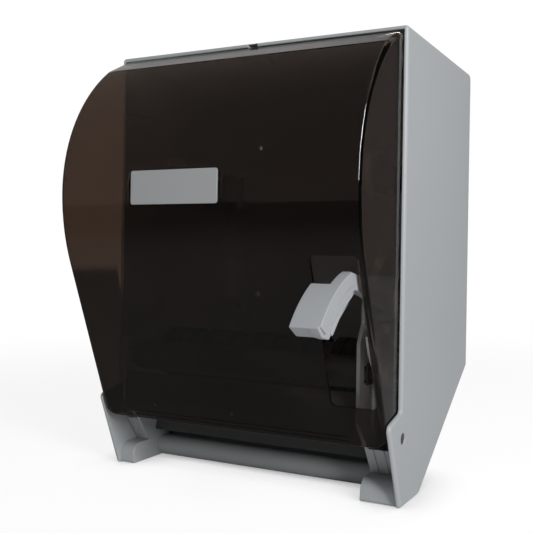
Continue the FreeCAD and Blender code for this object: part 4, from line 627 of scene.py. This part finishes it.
def deeper_pad(depth):
    """Carries the finger pad's underside further down, from its drawn thickness to the given depth.

    The pad's two ends are shaded flat.
    """
    crown, radius, drawn = Vector((-218.53, -133.18)) * MM, 89.66 * MM, 7.5 * MM
    pad_edge, slack, end_facing = 121.6 * MM, 0.15 * MM, 0.95

    def reshape(shape):
        for vertex in shape.verts:
            arm = Vector((vertex.co.y, vertex.co.z)) - crown
            if vertex.co.x < pad_edge and abs(arm.length - radius + drawn) < slack:
                vertex.co.y, vertex.co.z = crown + arm.normalized() * (radius - depth)
        for face in shape.faces:
            middle = face.calc_center_median()
            arm = (Vector((middle.y, middle.z)) - crown).normalized()
            across = abs(face.normal.y * arm.y - face.normal.z * arm.x)
            face.smooth = middle.x > pad_edge or across < end_facing
    return reshape


class MESH_OT_dispenser_lever(bpy.types.Operator):
    """Deepen the lever's finger pad and round the lever's edges"""
    bl_idname = "mesh.dispenser_lever"
    bl_label = "Lever"

    def execute(self, context):
        sizes = context.scene.dispenser_sizes
        rounded_copy("lever_handle", "lever_moulding", sizes.lever_edge, reshape=deeper_pad(sizes.pad_depth))
        return {"FINISHED"}


def plain_copy(node, name, body):
    """A node's own shape as a smooth shaded piece that stands in for the node."""
    shape = merged_copy(node)
    for face in shape.faces:
        face.smooth = True
    for edge in shape.edges:
        edge.smooth = abs(edge.calc_face_angle_signed(0.0)) < SPRING_SMOOTH_BELOW
    return finish_piece(name, mesh_from(shape, name), slot_of(node), body, [node])


class MESH_OT_dispenser_springs(bpy.types.Operator):
    """Put smooth copies in place of the lever's return spring and the pinch roller's springs"""
    bl_idname = "mesh.dispenser_springs"
    bl_label = "Springs"

    def execute(self, context):
        coil = plain_copy("return_spring", "winding_spring", None)
        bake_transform(coil)
        leaves = plain_copy("pinch_springs", "leaf_springs", body_of("pinch_springs"))
        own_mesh(leaves)
        return {"FINISHED"}


# ---- studio --------------------------------------------------------------------------------------

# The camera's turns are in radians, its lens and sensor in mm, and its shift in picture widths.
CAMERA_PLACE = Vector((345.156, -711.790, -36.883)) * MM
CAMERA_YAW = -0.4339337
CAMERA_PITCH = -0.0023042
CAMERA_ROLL = 0.0166183
CAMERA_LENS = 50.78
CAMERA_SENSOR = 36.0
CAMERA_SHIFT = (-0.1604, -0.0166)
CAMERA_REACH = 50.0

# The lamp and the floor are in metres.
LAMP_PLACE = (1.38, -1.04, 0.78)
LAMP_TARGET = (0.0, -0.12, -0.05)
LAMP_SIZE = (0.28, 1.2)
FLOOR_HALF_WIDTH = 6.0
FLOOR_GREY = (0.92, 0.92, 0.92, 1.0)

# From where to where the floor near the dispenser fades into the background, and how it starts.
FADE = (0.45, 1.3)
FADE_SHARE = 0.80
FADE_LEVEL = 1.09
# Reach, depth and samples of the contact shadow painted into the floor's glow around the dispenser.
CONTACT_REACH = 0.045
CONTACT_SHADOW_LEVEL = 0.45
CONTACT_SAMPLES = 8
FLOOR_GLOSS_TURN = (-0.25, 0.15)

# Where the pale wall begins and ends in gloss, along the parts of a direction.
WALL_BACK = (0.0, 0.35)
WALL_TOP = (0.58, 0.72)
WALL_SIDE = (0.0, 0.30)


def camera_axes():
    """Directions to the camera's right, up and back."""
    ahead = Vector((math.sin(CAMERA_YAW) * math.cos(CAMERA_PITCH),
                    math.cos(CAMERA_YAW) * math.cos(CAMERA_PITCH), math.sin(CAMERA_PITCH)))
    right = Vector((math.cos(CAMERA_YAW), -math.sin(CAMERA_YAW), 0.0))
    up = right.cross(ahead)
    cosine, sine = math.cos(CAMERA_ROLL), math.sin(CAMERA_ROLL)
    return right * cosine + up * sine, up * cosine - right * sine, -ahead


def add_camera():
    camera = bpy.data.objects.new("Camera", bpy.data.cameras.new("Camera"))
    camera.data.sensor_width = CAMERA_SENSOR
    camera.data.lens = CAMERA_LENS
    camera.data.shift_x, camera.data.shift_y = CAMERA_SHIFT
    camera.data.clip_end = CAMERA_REACH
    turn = Matrix(camera_axes()).transposed().to_4x4()
    camera.matrix_world = Matrix.Translation(CAMERA_PLACE) @ turn
    bpy.context.scene.collection.objects.link(camera)
    bpy.context.scene.camera = camera


def add_lamp(power):
    lamp = bpy.data.objects.new("Key lamp", bpy.data.lights.new("Key lamp", "AREA"))
    lamp.data.shape = "RECTANGLE"
    lamp.data.size, lamp.data.size_y = LAMP_SIZE
    lamp.data.energy = power
    lamp.location = LAMP_PLACE
    lamp.rotation_euler = (Vector(LAMP_TARGET) - Vector(LAMP_PLACE)).to_track_quat("-Z", "Y").to_euler()
    bpy.context.scene.collection.objects.link(lamp)


def unscattered(tree, path):
    """1 for a ray that no matte face has scattered yet, and 0 for soft light."""
    return add_math(tree, "LESS_THAN", path.outputs["Diffuse Depth"], 0.5)


def background_rays(tree, path, reflected):
    """How far a ray sees the background: 1 directly or through clear parts, less in reflections."""
    direct = add_math(tree, "MAXIMUM", path.outputs["Is Camera Ray"], path.outputs["Is Transmission Ray"])
    gloss = add_math(tree, "MULTIPLY", path.outputs["Is Glossy Ray"], reflected)
    return add_math(tree, "MULTIPLY", add_math(tree, "MAXIMUM", direct, gloss), unscattered(tree, path))


def mix_shaders(tree, factor, first, second):
    """Shader that goes from the first to the second as the factor rises."""
    mix = tree.nodes.new("ShaderNodeMixShader")
    tree.links.new(factor, mix.inputs["Fac"])
    tree.links.new(first, mix.inputs[1])
    tree.links.new(second, mix.inputs[2])
    return mix.outputs["Shader"]


def add_surroundings(level, behind, before):
    """Even soft light; gloss shows a pale wall behind on the left and a dim room everywhere else."""
    world = bpy.data.worlds.new("Studio")
    bpy.context.scene.world = world
    world.use_nodes = True
    tree = world.node_tree
    sky = tree.nodes["Background"]
    sky.inputs["Color"].default_value = (1.0, 1.0, 1.0, 1.0)
    place = tree.nodes.new("ShaderNodeTexCoord")
    split = tree.nodes.new("ShaderNodeSeparateXYZ")
    tree.links.new(place.outputs["Generated"], split.inputs["Vector"])
    to_back = add_ramp(tree, split.outputs["Y"], *WALL_BACK, 0.0, 1.0)
    low = add_ramp(tree, split.outputs["Z"], *WALL_TOP, 1.0, 0.0)
    to_left = add_ramp(tree, split.outputs["X"], *WALL_SIDE, 1.0, 0.0)
    wall = add_math(tree, "MULTIPLY", add_math(tree, "MULTIPLY", to_back, low), to_left)
    reflected = add_math(tree, "ADD", add_math(tree, "MULTIPLY", wall, behind - before), before)
    path = tree.nodes.new("ShaderNodeLightPath")
    background = background_rays(tree, path, reflected)
    soft = add_math(tree, "MULTIPLY", add_math(tree, "SUBTRACT", 1.0, unscattered(tree, path)), level)
    tree.links.new(add_math(tree, "MAXIMUM", soft, background), sky.inputs["Strength"])


def add_floor(behind, before):
    """Clear floor that shows the background, the dispenser's shadow and an opened cover that dips below it; a
    contact shadow is painted into its glow where it meets the dispenser.
    """
    shape = bmesh.new()
    bmesh.ops.create_grid(shape, x_segments=2, y_segments=2, size=FLOOR_HALF_WIDTH)
    bmesh.ops.translate(shape, verts=shape.verts, vec=(0.0, 0.0, LOWEST))
    floor = bpy.data.objects.new("floor", mesh_from(shape, "floor"))
    bpy.context.scene.collection.objects.link(floor)
    material, tree, shader, vector = new_material("Pale Floor")
    shader.inputs["Base Color"].default_value = FLOOR_GREY
    shader.inputs["Roughness"].default_value = 0.9
    shader.inputs["Specular IOR Level"].default_value = 0.0
    reach = tree.nodes.new("ShaderNodeVectorMath")
    reach.operation = "LENGTH"
    tree.links.new(vector, reach.inputs[0])
    # Painted contact shadow: occlusion darkens the floor's glow near the dispenser.
    near = tree.nodes.new("ShaderNodeAmbientOcclusion")
    near.inputs["Distance"].default_value = CONTACT_REACH
    near.samples = CONTACT_SAMPLES
    painted_contact_shadow = add_ramp(tree, near.outputs["AO"], 0.0, 1.0, CONTACT_SHADOW_LEVEL, 1.0)
    share_of_glow = add_ramp(tree, reach.outputs["Value"], *FADE, FADE_SHARE, 1.0)
    level = add_math(tree, "MULTIPLY", painted_contact_shadow, add_ramp(tree, reach.outputs["Value"], *FADE, FADE_LEVEL, 1.0))
    glow = tree.nodes.new("ShaderNodeEmission")
    clear = tree.nodes.new("ShaderNodeBsdfTransparent")
    path = tree.nodes.new("ShaderNodeLightPath")
    background = background_rays(tree, path, 1.0)
    split = tree.nodes.new("ShaderNodeSeparateXYZ")
    tree.links.new(vector, split.inputs["Vector"])
    in_gloss = add_ramp(tree, split.outputs["Y"], *FLOOR_GLOSS_TURN, before, behind)
    tree.links.new(add_math(tree, "MULTIPLY", level, in_gloss), glow.inputs["Strength"])
    tree.links.new(level, clear.inputs["Color"])
    through = mix_shaders(tree, path.outputs["Is Glossy Ray"], clear.outputs["BSDF"], glow.outputs["Emission"])
    blended = mix_shaders(tree, add_math(tree, "MULTIPLY", background, share_of_glow),
                          shader.outputs["BSDF"], through)
    tree.links.new(blended, tree.nodes["Material Output"].inputs["Surface"])
    floor.data.materials.append(material)


class SCENE_OT_dispenser_stage(bpy.types.Operator):
    """Set up the floor, the soft lamp, the surroundings and the camera"""
    bl_idname = "scene.dispenser_stage"
    bl_label = "Stage"

    def execute(self, context):
        studio = context.scene.dispenser_studio
        add_floor(studio.floor_gloss, studio.room_gloss)
        add_surroundings(studio.surroundings, studio.wall_gloss, studio.room_gloss)
        add_lamp(studio.key_power)
        add_camera()
        context.scene.view_settings.view_transform = "Standard"
        return {"FINISHED"}


# ---- add-on --------------------------------------------------------------------------------------

STEPS = (
    MESH_OT_dispenser_finish_solids,
    MESH_OT_dispenser_cabinet,
    MESH_OT_dispenser_cover,
    MESH_OT_dispenser_lip_beads,
    MESH_OT_dispenser_lever,
    MESH_OT_dispenser_springs,
    SCENE_OT_dispenser_stage,
)


class VIEW3D_PT_dispenser(bpy.types.Panel):
    """Finishes, sizes and steps of the dispenser"""
    bl_idname = "VIEW3D_PT_dispenser"
    bl_label = "Lever Towel Dispenser"
    bl_space_type = "VIEW_3D"
    bl_region_type = "UI"
    bl_category = "Dispenser"

    def draw(self, context):
        scene = context.scene
        for group in (scene.dispenser_finishes, scene.dispenser_sizes, scene.dispenser_studio):
            box = self.layout.box()
            for name in group.__annotations__:
                box.prop(group, name)
        column = self.layout.column(align=True)
        for step in STEPS:
            column.operator(step.bl_idname)


CLASSES = (DispenserFinishes, DispenserSizes, DispenserStudio, *STEPS, VIEW3D_PT_dispenser)


def register():
    for item in CLASSES:
        bpy.utils.register_class(item)
    bpy.types.Scene.dispenser_finishes = bpy.props.PointerProperty(type=DispenserFinishes)
    bpy.types.Scene.dispenser_sizes = bpy.props.PointerProperty(type=DispenserSizes)
    bpy.types.Scene.dispenser_studio = bpy.props.PointerProperty(type=DispenserStudio)


def unregister():
    del bpy.types.Scene.dispenser_studio
    del bpy.types.Scene.dispenser_sizes
    del bpy.types.Scene.dispenser_finishes
    for item in reversed(CLASSES):
        bpy.utils.unregister_class(item)


def main():
    register()
    for step in STEPS:
        family, name = step.bl_idname.split(".")
        getattr(getattr(bpy.ops, family), name)()


if __name__ == "__main__":
    main()
